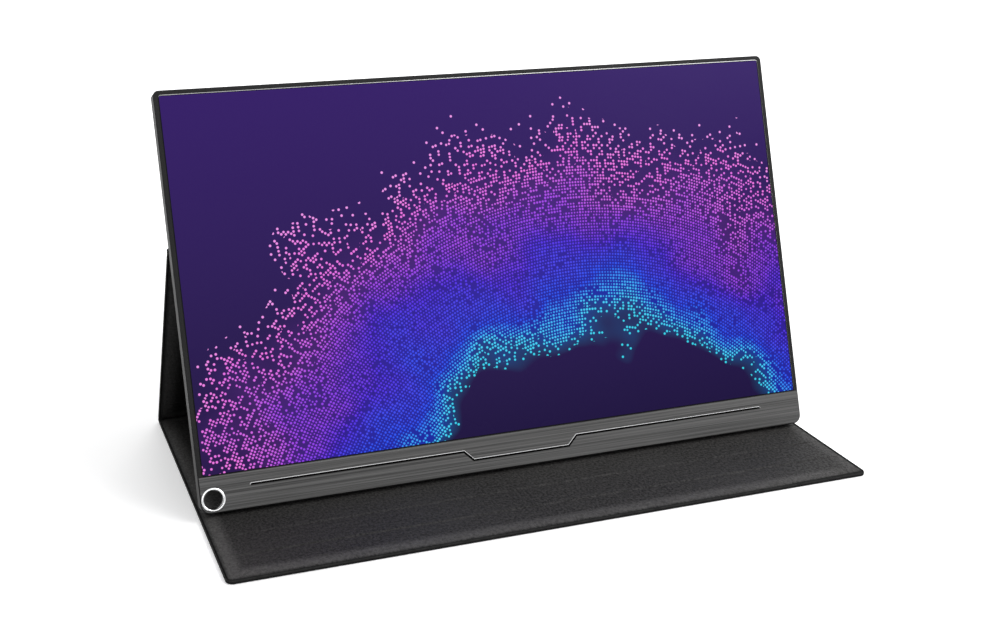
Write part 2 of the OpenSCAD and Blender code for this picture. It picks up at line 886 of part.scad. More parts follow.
// Cap in the side wall, flange behind the wall and stem down to the switch
module power_button() {
    flange_top = side_in - 0.1;
    flange_t = 0.7;
    color([0.25, 0.25, 0.26]) place_monitor() {
        side_solid(control_y, power_z, flange_top - tiny, side_x + button_proud)
            slot_outline(button_l, button_w);
        side_solid(control_y, power_z, flange_top - flange_t, flange_top)
            slot_outline(button_l + 1.6, button_w + 1);
        side_solid(control_y, power_z, switch_top + button_travel + 0.05, flange_top - flange_t + tiny)
            circle(1);
    }
}

// Fork with the dial's pin; it moves inwards when the dial is pressed
module dial_carriage() {
    fork_x = switch_x + dial_travel + fork_gap;
    ear_t = 0.6;
    ear_y = dial_t / 2 + running_gap;
    fork_w = 2 * (ear_y + ear_t);
    color([0.6, 0.6, 0.62]) place_monitor() {
        translate([fork_x, control_y - fork_w / 2, dial_z - 2.2]) cube([fork_base_t, fork_w, 4.4]);
        for (side = [0, 1])
            mirror_about(control_y, side)
                translate([fork_x, control_y + ear_y, dial_z - 1.6])
                    cube([dial_x + 1.5 - fork_x, ear_t, 3.2]);
        translate([dial_x, control_y - ear_y - tiny, dial_z]) rotate([-90, 0, 0])
            cylinder(r = dial_pin_r, h = 2 * (ear_y + tiny));
    }
}

module mirror_about(y, flag) {
    translate([0, y, 0]) mirror([0, flag, 0]) translate([0, -y, 0]) children();
}

// Fluted dial on the fork's pin
module menu_dial() {
    flutes = 32;
    color([0.2, 0.2, 0.21]) place_monitor()
        translate([dial_x, control_y + dial_t / 2, dial_z]) rotate([90, 0, 0])
            difference() {
                linear_extrude(dial_t)
                    difference() {
                        circle(dial_r);
                        for (i = [0:flutes - 1])
                            rotate(i * 360 / flutes) translate([dial_r + 0.12, 0]) circle(0.3, $fn = 16);
                    }
                translate([0, 0, -through])
                    cylinder(r = dial_pin_r + running_gap, h = dial_t + 2 * through);
            }
}

module driver_board() {
    color([0.05, 0.3, 0.16]) place_monitor()
        difference() {
            slab(board_y, board_y + pcb_t) translate([0, driver_low]) square_up(driver_l, driver_h);
            for (p = driver_holes)
                translate([p[0], 0, p[1]]) rotate([-90, 0, 0])
                    cylinder(r = board_screw_r + 0.3, h = mon_t);
        }
}

// Three flexes from the cell's lower edge round to the driver board
module panel_flexes() {
    thin = 0.15;
    start_y = cell_y + 0.3;
    turn_z = panel_low - 0.6;
    end_z = driver_low + driver_h - 3.5;
    color([0.75, 0.5, 0.15]) place_monitor()
        for (i = [-1:1])
            translate([i * flex_pitch - flex_w / 2, 0, 0]) rotate([90, 0, 90]) linear_extrude(flex_w)
                polygon([
                    [start_y, panel_low + 2.8],
                    [start_y, turn_z - thin],
                    [board_y - thin, turn_z - thin],
                    [board_y - thin, end_z],
                    [board_y, end_z],
                    [board_y, turn_z],
                    [start_y + thin, turn_z],
                    [start_y + thin, panel_low + 2.8]
                ]);
}

// Flat cable from the driver board up to the main board
module display_cable() {
    thin = 0.2;
    left = driver_l / 2 - cable_inset;
    low = driver_low + 2.5;
    color([0.85, 0.85, 0.8]) place_monitor()
        slab(board_y - thin, board_y) {
            translate([left, low]) square([cable_w, cable_turn_z + cable_w - low]);
            translate([left, cable_turn_z]) square([board_right - mainboard_w + cable_w - left, cable_w]);
        }
}

module speaker(side) {
    color([0.12, 0.12, 0.13]) place_monitor()
        translate([side * speaker_x - speaker_l / 2, back_in - speaker_t, shell_wall + 0.1])
            difference() {
                cube([speaker_l, speaker_t, speaker_w]);
                translate([4, 0.8, -through]) cube([speaker_l - 8, speaker_t - 1.6, 1.6 + through]);
            }
}

module speaker_left() speaker(-1);
module speaker_right() speaker(1);

// Flat-headed screws from the back into the posts behind the chin
module case_screws() {
    color([0.2, 0.2, 0.2]) place_monitor()
        for (x = screw_xs)
            case_screw_at(x) {
                difference() {
                    cylinder(r = screw_head_r, h = screw_head_t);
                    translate([0, 0, -through]) cylinder(r = 0.8, h = through + screw_head_t / 2, $fn = 6);
                }
                translate([0, 0, screw_head_t - tiny]) cylinder(r = screw_r, h = screw_l);
            }
}

module board_screws() {
    color([0.7, 0.7, 0.7]) place_monitor()
        for (p = concat(mainboard_holes, driver_holes))
            translate([p[0], board_y, p[1]]) rotate([-90, 0, 0]) {
                translate([0, 0, -0.6]) cylinder(r = 1.5, h = 0.6);
                translate([0, 0, -tiny]) cylinder(r = board_screw_r, h = pcb_t + standoff_h - 0.1);
            }
}

front_cover_skin();
front_cover_board();
front_cover_lining();
front_cover_magnets();
knee_crease();
rear_panel_skin();
spine_board();
lower_back_board();
rear_panel_lining();
upper_crease();
upper_panel_skin();
upper_back_board();
upper_panel_lining();
upper_panel_magnets();
rear_shell();
front_frame();
chin_plate();
pen_hole_sleeve();
cover_glass();
lcd_cell();
film_stack();
light_guide();
reflector_sheet();
led_bar();
panel_frame();
panel_tray();
steel_strips();
mainboard();
board_shield();
usb_c_port_upper();
usb_c_port_lower();
mini_hdmi_port();
audio_jack();
key_board();
power_switch();
power_button();
dial_carriage();
menu_dial();
driver_board();
panel_flexes();
display_cable();
speaker_left();
speaker_right();
case_screws();
board_screws();
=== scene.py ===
import math

import bmesh
import bpy
import numpy as np
from mathutils import Matrix, Vector


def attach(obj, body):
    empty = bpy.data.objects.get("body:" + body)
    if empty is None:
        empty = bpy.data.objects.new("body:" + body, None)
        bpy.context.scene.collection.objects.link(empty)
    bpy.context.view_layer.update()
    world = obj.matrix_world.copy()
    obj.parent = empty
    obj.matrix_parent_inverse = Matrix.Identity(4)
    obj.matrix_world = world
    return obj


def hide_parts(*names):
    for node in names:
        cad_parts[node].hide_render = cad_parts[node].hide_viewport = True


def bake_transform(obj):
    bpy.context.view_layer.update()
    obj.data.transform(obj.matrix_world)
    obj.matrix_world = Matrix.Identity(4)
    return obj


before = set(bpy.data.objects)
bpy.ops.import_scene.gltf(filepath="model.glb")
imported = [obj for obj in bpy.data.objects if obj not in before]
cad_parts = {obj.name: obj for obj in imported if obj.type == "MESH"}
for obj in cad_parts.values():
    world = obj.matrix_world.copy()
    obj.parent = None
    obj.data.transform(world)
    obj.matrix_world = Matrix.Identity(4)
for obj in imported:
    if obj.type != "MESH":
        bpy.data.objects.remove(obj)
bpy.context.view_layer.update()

# Lengths are in millimetres and are turned into metres where a mesh is made.
MM = 0.001
LEAN = math.radians(19.1)
MON_W, MON_H, MON_T = 352.0, 217.0, 10.0
CHIN_H, RIM_W, SCREEN_R = 19.3, 2.6, 1.5
HALF_W = 176.5
COVER_T = 3.0
TOP_H = COVER_T / 2
FRONT_L, REAR_L, UPPER_L = 212.0, 156.0, 80.0
UPPER_TURN = math.pi / 2 - LEAN
SPINE = 17.0
CORNER = 4.0
UPPER_INSET = 3.0


def along(turn):
    """Direction in the side view at an angle from the floor."""
    return np.array([math.cos(turn), math.sin(turn)])


# Stand, as the source works it out: the monitor's lower edge stands in a groove of the front cover, and the
# upper crease runs behind its back, CREASE_UP above that edge. MON_Y and MON_Z are the place of the lower
# front edge, and REAR_TURN is the rear panel's turn from lying flat.
CREASE_UP, CREASE_R = 135.0, 0.9
REAR_BEVEL, STAND_DEPTH, EDGE_GAP, PANEL_GAP = 1.2, 0.6, 0.1, 0.15
STAND_LEAD, STAND_W = 2.4, 4.0
CREASE_DEPTH = MON_T + PANEL_GAP + TOP_H
MON_Z = COVER_T - STAND_DEPTH + EDGE_GAP + (MON_T - REAR_BEVEL) * math.sin(LEAN)
UPPER_Z = MON_Z + CREASE_UP * math.cos(LEAN) - CREASE_DEPTH * math.sin(LEAN)
REAR_TURN = math.pi - math.asin((UPPER_Z - TOP_H) / REAR_L)
KNEE = np.array([(FRONT_L - CREASE_R) / 2, TOP_H])
UPPER = KNEE + REAR_L * along(REAR_TURN)
FRONT_EDGE_Y = KNEE[0] - FRONT_L
MON_Y = UPPER[0] - CREASE_UP * math.sin(LEAN) - CREASE_DEPTH * math.cos(LEAN)
STAND_Y = MON_Y + (MON_T - REAR_BEVEL) * math.cos(LEAN)

# Flat pattern of the cover: v runs from the front edge through both creases to the upper end.
KNEE_PAD = 1.0
FILLET = 2.4
TANGENT = FILLET * math.tan((REAR_TURN - UPPER_TURN) / 2)
ARC = FILLET * (REAR_TURN - UPPER_TURN)
V_KNEE = FRONT_L
V_REAR = V_KNEE + 2 * KNEE_PAD
V_SPINE = V_REAR + SPINE
V_ARC = V_REAR + REAR_L - TANGENT
V_UPPER = V_ARC + ARC
V_END = V_UPPER + UPPER_L - TANGENT
# Middles of the two grooves for flatter poses, and both edges of the groove that the monitor stands in.
GROOVES = (22.7, 44.7)
GROOVE_LOW = round(STAND_Y - STAND_LEAD - FRONT_EDGE_Y, 2)
GROOVE_HIGH = GROOVE_LOW + STAND_W

# Groove line along the monitor's chin: its half length and height, and those of the dip in its middle.
LINE_HALF, LINE_Z = 149.3, 12.3
DIP_HALF, DIP_Z = 28.0, 7.1
LINE_RISE = LINE_Z - DIP_Z

# Points of a panel's mesh that are nearer than these, in metres, are one.
WELD, DEGENERATE = 2e-7, 1e-7


def fold(x, v, h):
    """Flat pattern point, folded, in millimetres; h runs from the cover's middle towards its lining."""
    out = np.zeros(x.shape + (3,))
    out[..., 0] = x
    t_rear, t_upper = along(REAR_TURN), along(UPPER_TURN)
    n_rear = np.array([-t_rear[1], t_rear[0]])
    n_upper = np.array([-t_upper[1], t_upper[0]])
    flat = v <= V_KNEE
    out[flat, 1] = FRONT_EDGE_Y + v[flat]
    out[flat, 2] = TOP_H + h[flat]
    turn = np.clip((v - V_KNEE) / (2 * KNEE_PAD), 0, 1) * REAR_TURN
    knee = (v > V_KNEE) & (v < V_REAR)
    out[knee, 1] = KNEE[0] - h[knee] * np.sin(turn[knee])
    out[knee, 2] = KNEE[1] + h[knee] * np.cos(turn[knee])
    rear = (v >= V_REAR) & (v <= V_ARC)
    for k in (0, 1):
        out[rear, 1 + k] = KNEE[k] + (v[rear] - V_REAR) * t_rear[k] + h[rear] * n_rear[k]
    start = KNEE + (REAR_L - TANGENT) * t_rear
    centre = start - FILLET * n_rear
    arc = (v > V_ARC) & (v < V_UPPER)
    turn = REAR_TURN - np.clip((v - V_ARC) / ARC, 0, 1) * (REAR_TURN - UPPER_TURN)
    out[arc, 1] = centre[0] - (FILLET + h[arc]) * np.sin(turn[arc])
    out[arc, 2] = centre[1] + (FILLET + h[arc]) * np.cos(turn[arc])
    upper = v >= V_UPPER
    for k in (0, 1):
        out[upper, 1 + k] = UPPER[k] + (v[upper] - V_UPPER + TANGENT) * t_upper[k] + h[upper] * n_upper[k]
    return out


def smooth(a, b, x):
    """0 below a, 1 above b, and a smooth step between."""
    t = np.clip((x - a) / (b - a), 0, 1)
    return t * t * (3 - 2 * t)


def lines(low, high, step, steps_low=(), steps_high=(), extra=()):
    """Grid lines from low to high: evenly spaced, closer where the steps and the extra places say."""
    close = [low + s for s in steps_low] + [high - s for s in steps_high] + list(extra)
    even = list(np.linspace(low, high, max(2, int((high - low) / step) + 1)))
    wanted = {round(s, 6) for s in [low, high] + close}
    found = sorted(s for s in even + close if low - 1e-9 <= s <= high + 1e-9)
    least, spare = 1e-6, 0.35 * step
    kept = [found[0]]
    for s in found[1:]:
        gap = s - kept[-1]
        if gap >= least and (round(s, 6) in wanted or gap >= spare):
            kept.append(s)
    return np.array(kept)


def around(place, reach, step):
    """Evenly spaced places on both sides of one place."""
    return list(np.arange(place - reach, place + reach + step / 2, step))


def outline_grid(half, v_low, v_high, r_low, r_high, xs, vs):
    """Grid over a panel whose free ends have round corners, and each point's distance from the free edges."""
    x, v = np.meshgrid(xs, vs, indexing="ij")
    d = half - np.abs(x)
    if r_low:
        d = np.minimum(d, v - v_low)
    if r_high:
        d = np.minimum(d, v_high - v)
    x2, v2, d2 = x.copy(), v.copy(), d.copy()
    for r, end, sign in ((r_low, v_low, 1), (r_high, v_high, -1)):
        if not r:
            continue
        a = np.abs(x) - (half - r)
        b = r - sign * (v - end)
        near = (a > 0) & (b > 0)
        far = np.maximum(a, b)
        ratio = np.minimum(a, b) / np.where(far == 0, 1, far)
        angle = np.where(a >= b, math.pi / 4 * ratio, math.pi / 2 - math.pi / 4 * ratio)
        x2[near] = (np.sign(x) * (half - r + far * np.cos(angle)))[near]
        v2[near] = (end + sign * (r - far * np.sin(angle)))[near]
        d2[near] = (r - far)[near]
    return x2, v2, np.maximum(d2, 0)


def narrowed(x, v):
    """The upper panel is a little narrower than the rest, so that the monitor hides it from the front."""
    start, end = V_UPPER + 0.3, V_UPPER + 3.4
    return x * (1 - UPPER_INSET / HALF_W * smooth(start, end, v))


def closed_pad(name, x, v, d, top, low, caps=(False, False)):
    """Closed mesh between two height fields over the flat pattern, folded into place."""
    bm = bmesh.new()
    layer = bm.verts.layers.float_vector.new("flat")
    edge_layer = bm.verts.layers.float.new("edge")
    grids = []
    for h in (top, low):
        places = fold(x, v, h) * MM
        rows = []
        for i in range(x.shape[0]):
            row = []
            for j in range(x.shape[1]):
                vert = bm.verts.new(places[i, j])
                vert[layer] = (x[i, j], v[i, j], h[i, j])
                vert[edge_layer] = d[i, j]
                row.append(vert)
            rows.append(row)
        grids.append(rows)
    for g, rows in enumerate(grids):
        for i in range(len(rows) - 1):
            for j in range(len(rows[0]) - 1):
                quad = [rows[i][j], rows[i + 1][j], rows[i + 1][j + 1], rows[i][j + 1]]
                bm.faces.new(quad if g == 0 else quad[::-1])
    upper, lower = grids
    for used, j in ((caps[0], 0), (caps[1], -1)):
        if used:
            for i in range(len(upper) - 1):
                quad = [upper[i][j], upper[i + 1][j], lower[i + 1][j], lower[i][j]]
                bm.faces.new(quad[::-1] if j == 0 else quad)
    bmesh.ops.remove_doubles(bm, verts=bm.verts, dist=WELD)
    bmesh.ops.dissolve_degenerate(bm, edges=bm.edges, dist=DEGENERATE)
    bmesh.ops.recalc_face_normals(bm, faces=bm.faces)
    return finish_mesh(name, bm)


def finish_mesh(name, bm, soft=True):
    """Object of the finished mesh, linked to the scene."""
    mesh = bpy.data.meshes.new(name)
    for face in bm.faces:
        face.smooth = soft
    bm.to_mesh(mesh)
    bm.free()
    obj = bpy.data.objects.new(name, mesh)
    bpy.context.scene.collection.objects.link(obj)
    return obj


def mon(x, depth, height):
    """Point given along the monitor's own width, depth and height, in metres where it stands."""
    return Vector((
        x * MM,
        (MON_Y + depth * math.cos(LEAN) + height * math.sin(LEAN)) * MM,
        (MON_Z - depth * math.sin(LEAN) + height * math.cos(LEAN)) * MM,
    ))


# Forms of the cover.

# Grid lines from a free edge inwards, then heights of the rolled leather edge by distance from it.
EDGE_STEPS = (
    0.03, 0.1, 0.22, 0.38, 0.52, 0.66, 0.8, 0.9, 1.0, 1.2, 1.6, 2.1,
    2.5, 2.8, 3.0, 3.2, 3.4, 3.6, 3.9, 4.4, 5.2, 6.6, 8.0, 9.0,
)
BEAD_D = (0, 0.03, 0.1, 0.22, 0.38, 0.52, 0.66, 0.8, 0.9, 1.0, 1.2)
BEAD_H = (-0.7, -0.26, 0.06, 0.34, 0.48, 0.46, 0.28, -0.06, -0.44, -0.67, -0.7)
UNDER_H = (-0.7, -1.06, -1.26, -1.38, -1.45, -1.48, -1.5, -1.5, -1.5, -1.5, -1.5)
LEATHER_STEP = 9
# Line pressed along the hem and at the spine: its place, its reach and its depth.
HEM_LINE, HEM_REACH, HEM_PRESS = 3.2, 0.32, 0.22
SPINE_REACH, SPINE_PRESS = 0.9, 0.38
# The leather is thin round a crease: middle and half thickness there, and how far that reaches.
THIN_MIDDLE, THIN_HALF, THIN_REACH = -0.5, 0.4, 3.4

# Grid lines of the linings, then the slope of their field to the hem and to a crease.
LINING_STEPS = (
    0.02, 0.07, 0.16, 0.3, 0.5, 0.8, 1.2, 1.7, 2.4,
    3.2, 4.1, 5.1, 6.2, 7.3, 8.05, 9.2, 10.4, 11.6,
)
PAD_D = (0, 0.02, 0.07, 0.16, 0.3, 0.5, 0.8, 1.2, 1.7, 2.4, 3.2, 4.1, 5.1, 6.2, 7.3, 8.4, 9.5, 10.6, 11.6)
PAD_H = (
    -0.5, -0.24, -0.03, 0.14, 0.26, 0.36, 0.46, 0.57, 0.7, 0.85,
    0.99, 1.12, 1.24, 1.33, 1.4, 1.45, 1.475, 1.49, 1.5,
)
CREASE_D = (0, 0.02, 0.07, 0.16, 0.3, 0.5, 0.8, 1.2, 1.7, 2.4, 3.2, 4.1)
CREASE_H = (-0.5, -0.36, -0.22, -0.08, 0.06, 0.2, 0.42, 0.7, 0.98, 1.26, 1.43, 1.5)
LINING_INSET, LINING_START = 0.95, 1.1
# Both faces of a lining meet at this height where they are nearer to its edge than this.
RIM_H, AT_EDGE = -0.5, 0.01
# Depths of the pressed groove under the monitor's edge, of the two for flatter poses, and at the spine.
STAND_PRESS, FLAT_PRESS, FOLD_PRESS = 0.66, 0.6, 0.6
# Height of the lining over the upper crease.
UPPER_H = 0.6


def dent(value, at, reach):
    """1 at a pressed line, falling off smoothly to both sides."""
    return np.exp(-((value - at) / reach) ** 2)


def leather_heights(v, d, low, high):
    """Heights of the leather's inner and outer face: a rolled edge, thin at the crease from low to high."""
    away = np.maximum(np.maximum(low - v, v - high), 0)
    thin = 1 - smooth(0.1, THIN_REACH, away)
    half = THIN_HALF * np.sqrt(np.maximum(0, 1 - (1 - np.clip(d / THIN_HALF, 0, 1)) ** 2))
    inner = (1 - thin) * np.interp(d, BEAD_D, BEAD_H) + thin * (THIN_MIDDLE + half)
    outer = (1 - thin) * np.interp(d, BEAD_D, UNDER_H) + thin * (THIN_MIDDLE - half)
    press = dent(v, V_SPINE, SPINE_REACH) * smooth(0.2, 1.2, d)
    hem = dent(d, HEM_LINE, HEM_REACH) * (1 - 0.7 * thin)
    outer = outer + np.maximum(SPINE_PRESS * press, HEM_PRESS * hem)
    return inner + 0.1 * press, outer


def front_leather():
    """Outer skin of the front cover, round the knee and over the spine."""
    xs = lines(-HALF_W, HALF_W, LEATHER_STEP, EDGE_STEPS, EDGE_STEPS)
    extra = around((V_KNEE + V_REAR) / 2, 4.6, 0.28) + around(V_SPINE - 2.4, 2.4, 0.3)
    vs = lines(0, V_SPINE, LEATHER_STEP, EDGE_STEPS, (), extra)
    x, v, d = outline_grid(HALF_W, 0, V_SPINE, CORNER, 0, xs, vs)
    inner, outer = leather_heights(v, d, V_KNEE, V_REAR)
    return closed_pad("front_cover_leather", x, v, d, inner, outer, (False, True))


def back_leather():
    """Outer skin of the rear panel above the spine and of the upper panel."""
    xs = lines(-HALF_W, HALF_W, LEATHER_STEP, EDGE_STEPS, EDGE_STEPS)
    extra = around(V_SPINE + 2.4, 2.4, 0.3) + around((V_ARC + V_UPPER) / 2, 5.4, 0.3)
    vs = lines(V_SPINE, V_END, LEATHER_STEP, (), EDGE_STEPS, extra)
    x, v, d = outline_grid(HALF_W, V_SPINE, V_END, 0, CORNER, xs, vs)
    inner, outer = leather_heights(v, d, V_ARC, V_UPPER)
    return closed_pad("back_leather", narrowed(x, v), v, d, inner, outer, (True, False))


def soft_min(a, b, k=0.12):
    """The lesser of two heights, rounded within about k where they meet."""
    h = np.clip(0.5 + 0.5 * (b - a) / k, 0, 1)
    return b * (1 - h) + a * h - k * h * (1 - h)


def sag(x, v):
    """Slow unevenness of a thin foam layer, always downwards."""
    wave = (
        np.sin(x / 31 + 0.7) * np.sin(v / 23 + 1.3)
        + 0.6 * np.sin(x / 13.7 - v / 19 + 2.1)
        + 0.4 * np.sin(x / 8.3 + v / 11 + 0.4)
    )
    return -0.035 * (1 + wave / 2)


def lining_field(x, v, d, end):
    """Distance from a lining's edge, and its raised field. end is the distance from its crease."""
    edge = np.minimum(d, end)
    top = soft_min(np.interp(d, PAD_D, PAD_H), np.interp(end, CREASE_D, CREASE_H))
    top = np.where(edge < AT_EDGE, RIM_H, top)
    return edge, top + sag(x, v) * smooth(2, 14, edge)


def lining_pad(name, x, v, edge, top):
    """Closed mesh of a lining, down to just above the leather."""
    floor = np.interp(edge, (0, 0.1, 0.3), (RIM_H, -0.66, -0.69))
    floor = np.where(edge < AT_EDGE, RIM_H, floor)
    return closed_pad(name, x, v, edge, np.maximum(top, floor), floor)


def front_lining():
    """Lining of the front cover with its raised field, hem slope and three pressed grooves."""
    half, step = HALF_W - LINING_INSET, 5
    low, high = LINING_INSET, V_KNEE - LINING_START
    extra = [p for c in GROOVES for p in around(c, 2.8, 0.35)]
    extra += around(GROOVE_LOW, 1.0, 0.2) + around(GROOVE_HIGH, 1.0, 0.2)
    xs = lines(-half, half, step, LINING_STEPS, LINING_STEPS)
    vs = lines(low, high, step, LINING_STEPS, LINING_STEPS, extra)
    x, v, d = outline_grid(half, low, high, CORNER - LINING_INSET, 0, xs, vs)
    edge, top = lining_field(x, v, d, high - v)
    for c in GROOVES:
        top = soft_min(top, TOP_H - FLAT_PRESS * dent(v, c, 1.0), 0.05)
    into = smooth(GROOVE_LOW - 0.1, GROOVE_LOW + 0.5, v)
    out_of = smooth(GROOVE_HIGH - 0.4, GROOVE_HIGH + 0.2, v)
    top = np.minimum(top, TOP_H - STAND_PRESS * into * (1 - out_of))
    return lining_pad("front_cover_soft_lining", x, v, edge, top)


def back_lining():
    """Lining of the rear and upper panels, pressed thin at the spine and at the upper crease."""
    half, step = HALF_W - LINING_INSET, 7
    low, high = V_REAR + LINING_START, V_END - LINING_INSET
    extra = around(V_SPINE, 4, 0.3) + around((V_ARC + V_UPPER) / 2, 5.4, 0.3)
    xs = lines(-half, half, step, LINING_STEPS, LINING_STEPS)
    vs = lines(low, high, step, LINING_STEPS, LINING_STEPS, extra)
    x, v, d = outline_grid(half, low, high, 0, CORNER - LINING_INSET, xs, vs)
    edge, top = lining_field(x, v, d, v - low)
    away = np.maximum(np.maximum(V_ARC - v, v - V_UPPER), 0)
    top = soft_min(top, UPPER_H + (TOP_H - UPPER_H) * smooth(0.2, THIN_REACH, away), 0.08)
    top = soft_min(top, TOP_H - FOLD_PRESS * dent(v, V_SPINE, 1.1), 0.05)
    return lining_pad("back_soft_lining", narrowed(x, v), v, edge, top)


def place(point):
    """Point in the side view, in metres on the part's middle plane."""
    return (0.0, point[0] * MM, point[1] * MM)


def bend_at(obj, first, second):
    """Bake the object's place into its mesh, at a crease between two panels whose directions away from it are
    given.
    """
    way = second - first
    way = way / np.linalg.norm(way)
    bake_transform(obj)


def build_cover():
    knee_front, knee_rear = np.array([-1.0, 0.0]), along(REAR_TURN)
    upper_down, upper_up = -along(REAR_TURN), along(UPPER_TURN)

    skin = front_leather()
    give(skin, leather_outer())
    bend_at(skin, knee_front, knee_rear)
    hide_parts("front_cover_skin", "knee_crease")

    back = back_leather()
    give(back, leather_outer())
    bend_at(back, upper_down, upper_up)
    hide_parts("rear_panel_skin", "upper_crease", "upper_panel_skin")

    lining = front_lining()
    give(lining, lining_fabric())
    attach(lining, "front_cover")
    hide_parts("front_cover_lining")

    inside = back_lining()
    give(inside, lining_in_shade())
    bend_at(inside, upper_down, upper_up)
    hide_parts("rear_panel_lining", "upper_panel_lining")


# Trim on the monitor.

# Section of a ribbon: shares of its width to the side, and of its lift, negative towards the front.
SECTION = ((-0.5, 0.0), (-0.38, -0.7), (0.0, -1.0), (0.38, -0.7), (0.5, 0.0), (0.0, 0.5))


def ribbon(name, points, width, lift):
    """Thin half-round strip along points (x, height, depth) on the monitor's front."""
    bm = bmesh.new()
    count = len(points)
    widths = width if isinstance(width, list) else [width] * count
    rings = []
    for i, (px, pz, depth) in enumerate(points):
        before = points[max(i - 1, 0)]
        after = points[min(i + 1, count - 1)]
        a = Vector((px - before[0], pz - before[1]))
        b = Vector((after[0] - px, after[1] - pz))
        a = a.normalized() if a.length else b.normalized()
        b = b.normalized() if b.length else a
        way = (a + b).normalized()
        across = Vector((-way[1], way[0])) / max(0.5, way.dot(a))
        ring = []
        for u, w in SECTION:
            out = u * widths[i]
            corner = mon(px + across[0] * out, depth + w * lift, pz + across[1] * out)
            ring.append(bm.verts.new(corner))
        rings.append(ring)
    for one, two in zip(rings, rings[1:]):
        for k in range(len(SECTION)):
            k2 = (k + 1) % len(SECTION)
            bm.faces.new([one[k], one[k2], two[k2], two[k]])
    bm.faces.new(rings[0])
    bm.faces.new(rings[-1][::-1])
    bmesh.ops.recalc_face_normals(bm, faces=bm.faces)
    return finish_mesh(name, bm, soft=False)


def groove_path(up, depth, reach):
    """Points along the chin's groove line, which dips in its middle, moved up at equal distance from it."""
    bend = up * math.tan(math.radians(22.5))
    line_z, dip_z = LINE_Z + up, DIP_Z + up
    end = LINE_HALF + reach
    low_x = DIP_HALF - bend
    high_x = low_x + LINE_RISE
    return [
        (-end, line_z, depth),
        (-high_x, line_z, depth),
        (-low_x, dip_z, depth),
        (low_x, dip_z, depth),
        (high_x, line_z, depth),
        (end, line_z, depth),
    ]


def groove_lip():
    """Bright lip over the chin's groove line, turned down at its ends, and a black strip in the groove as
    painted shade.
    """
    path = groove_path(0.62, 0.0, -0.2)
    end, high = -path[0][0], path[0][1]
    low = high - 0.9
    turn = [(0.62, low), (0.66, low + 0.42), (0.42, high - 0.16)]
    left = [(-end - a, b, 0.0) for a, b in turn]
    right = [(end + a, b, 0.0) for a, b in turn[::-1]]
    path = left + path + right
    lip = ribbon("chin_groove_lip", path, 0.36, 0.07)
    give(lip, polished_edge())
    # Painted shade: a black strip laid in the groove.
    shade_strip = ribbon("chin_groove_shade", groove_path(0.0, 0.26, -0.05), 0.84, 0.06)
    give(shade_strip, groove_shade_strip())
    for obj in (lip, shade_strip):
        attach(obj, "monitor")


def screen_bevel():
    """Painted highlight on the rim's inner bevel: a polished line full along the top, thin down the right
    side.
    """
    inset, steps = 0.12, 6
    thin, thick = 0.1, 0.34
    w = MON_W / 2 - RIM_W + inset
    low, high = CHIN_H + 0.6, MON_H - RIM_W + inset
    r = SCREEN_R + inset
    path, widths = [], []
    # The line runs only where the bevel catches the light, and not down the left side.
    for side, first, last in ((-1, 150, 90), (1, 90, 0)):
        for k in range(steps + 1):
            share = k / steps
            turn = math.radians(first + (last - first) * share)
            path.append((side * (w - r) + r * math.cos(turn), high - r + r * math.sin(turn), inset))
            widths.append(thin + (thick - thin) * (share if side < 0 else 1 - share))
    path.append((w, low, inset))
    widths.append(thin)
    obj = ribbon("screen_bevel", path, widths, 0.07)
    give(obj, polished_edge())
    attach(obj, "monitor")


def pen_sleeve():
    """Turned sleeve of the pen hole: a rolled lip on the front, a flare into the bore, and its plain tube."""
    bore, crest, outer, lip = 4.8, 5.45, 5.5, 6.2
    proud, flare, seat, chamfer = 0.3, 1.25, 0.02, 0.12
    px, pz = -MON_W / 2 + 6.8, 7.0
    count, lip_steps, flare_steps = 96, 8, 10
    profile = [(outer, seat), (lip - seat, seat)]
    for k in range(lip_steps + 1):
        turn = math.pi / 2 * k / lip_steps
        profile.append((crest + (lip - crest) * math.cos(turn), -proud * math.sin(turn)))
    for k in range(1, flare_steps + 1):
        turn = math.pi / 2 * k / flare_steps
        profile.append((crest - (crest - bore) * math.sin(turn), -proud + flare * (1 - math.cos(turn))))
    profile += [(bore, 3.0), (bore, MON_T - chamfer), (bore + chamfer, MON_T)]
    profile += [(outer - chamfer, MON_T), (outer, MON_T - chamfer)]
    bm = bmesh.new()
    rings = []
    for r, depth in profile:
        rings.append([
            bm.verts.new(mon(px + r * math.cos(a), depth, pz + r * math.sin(a)))
            for a in (2 * math.pi * k / count for k in range(count))
        ])
    for i, one in enumerate(rings):
        two = rings[(i + 1) % len(rings)]
        for k in range(count):
            bm.faces.new([one[k], one[(k + 1) % count], two[(k + 1) % count], two[k]])
    bmesh.ops.recalc_face_normals(bm, faces=bm.faces)
    obj = finish_mesh("pen_hole_chrome", bm)
    give(obj, chrome())
    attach(obj, "monitor")
    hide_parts("pen_hole_sleeve")


# Materials.

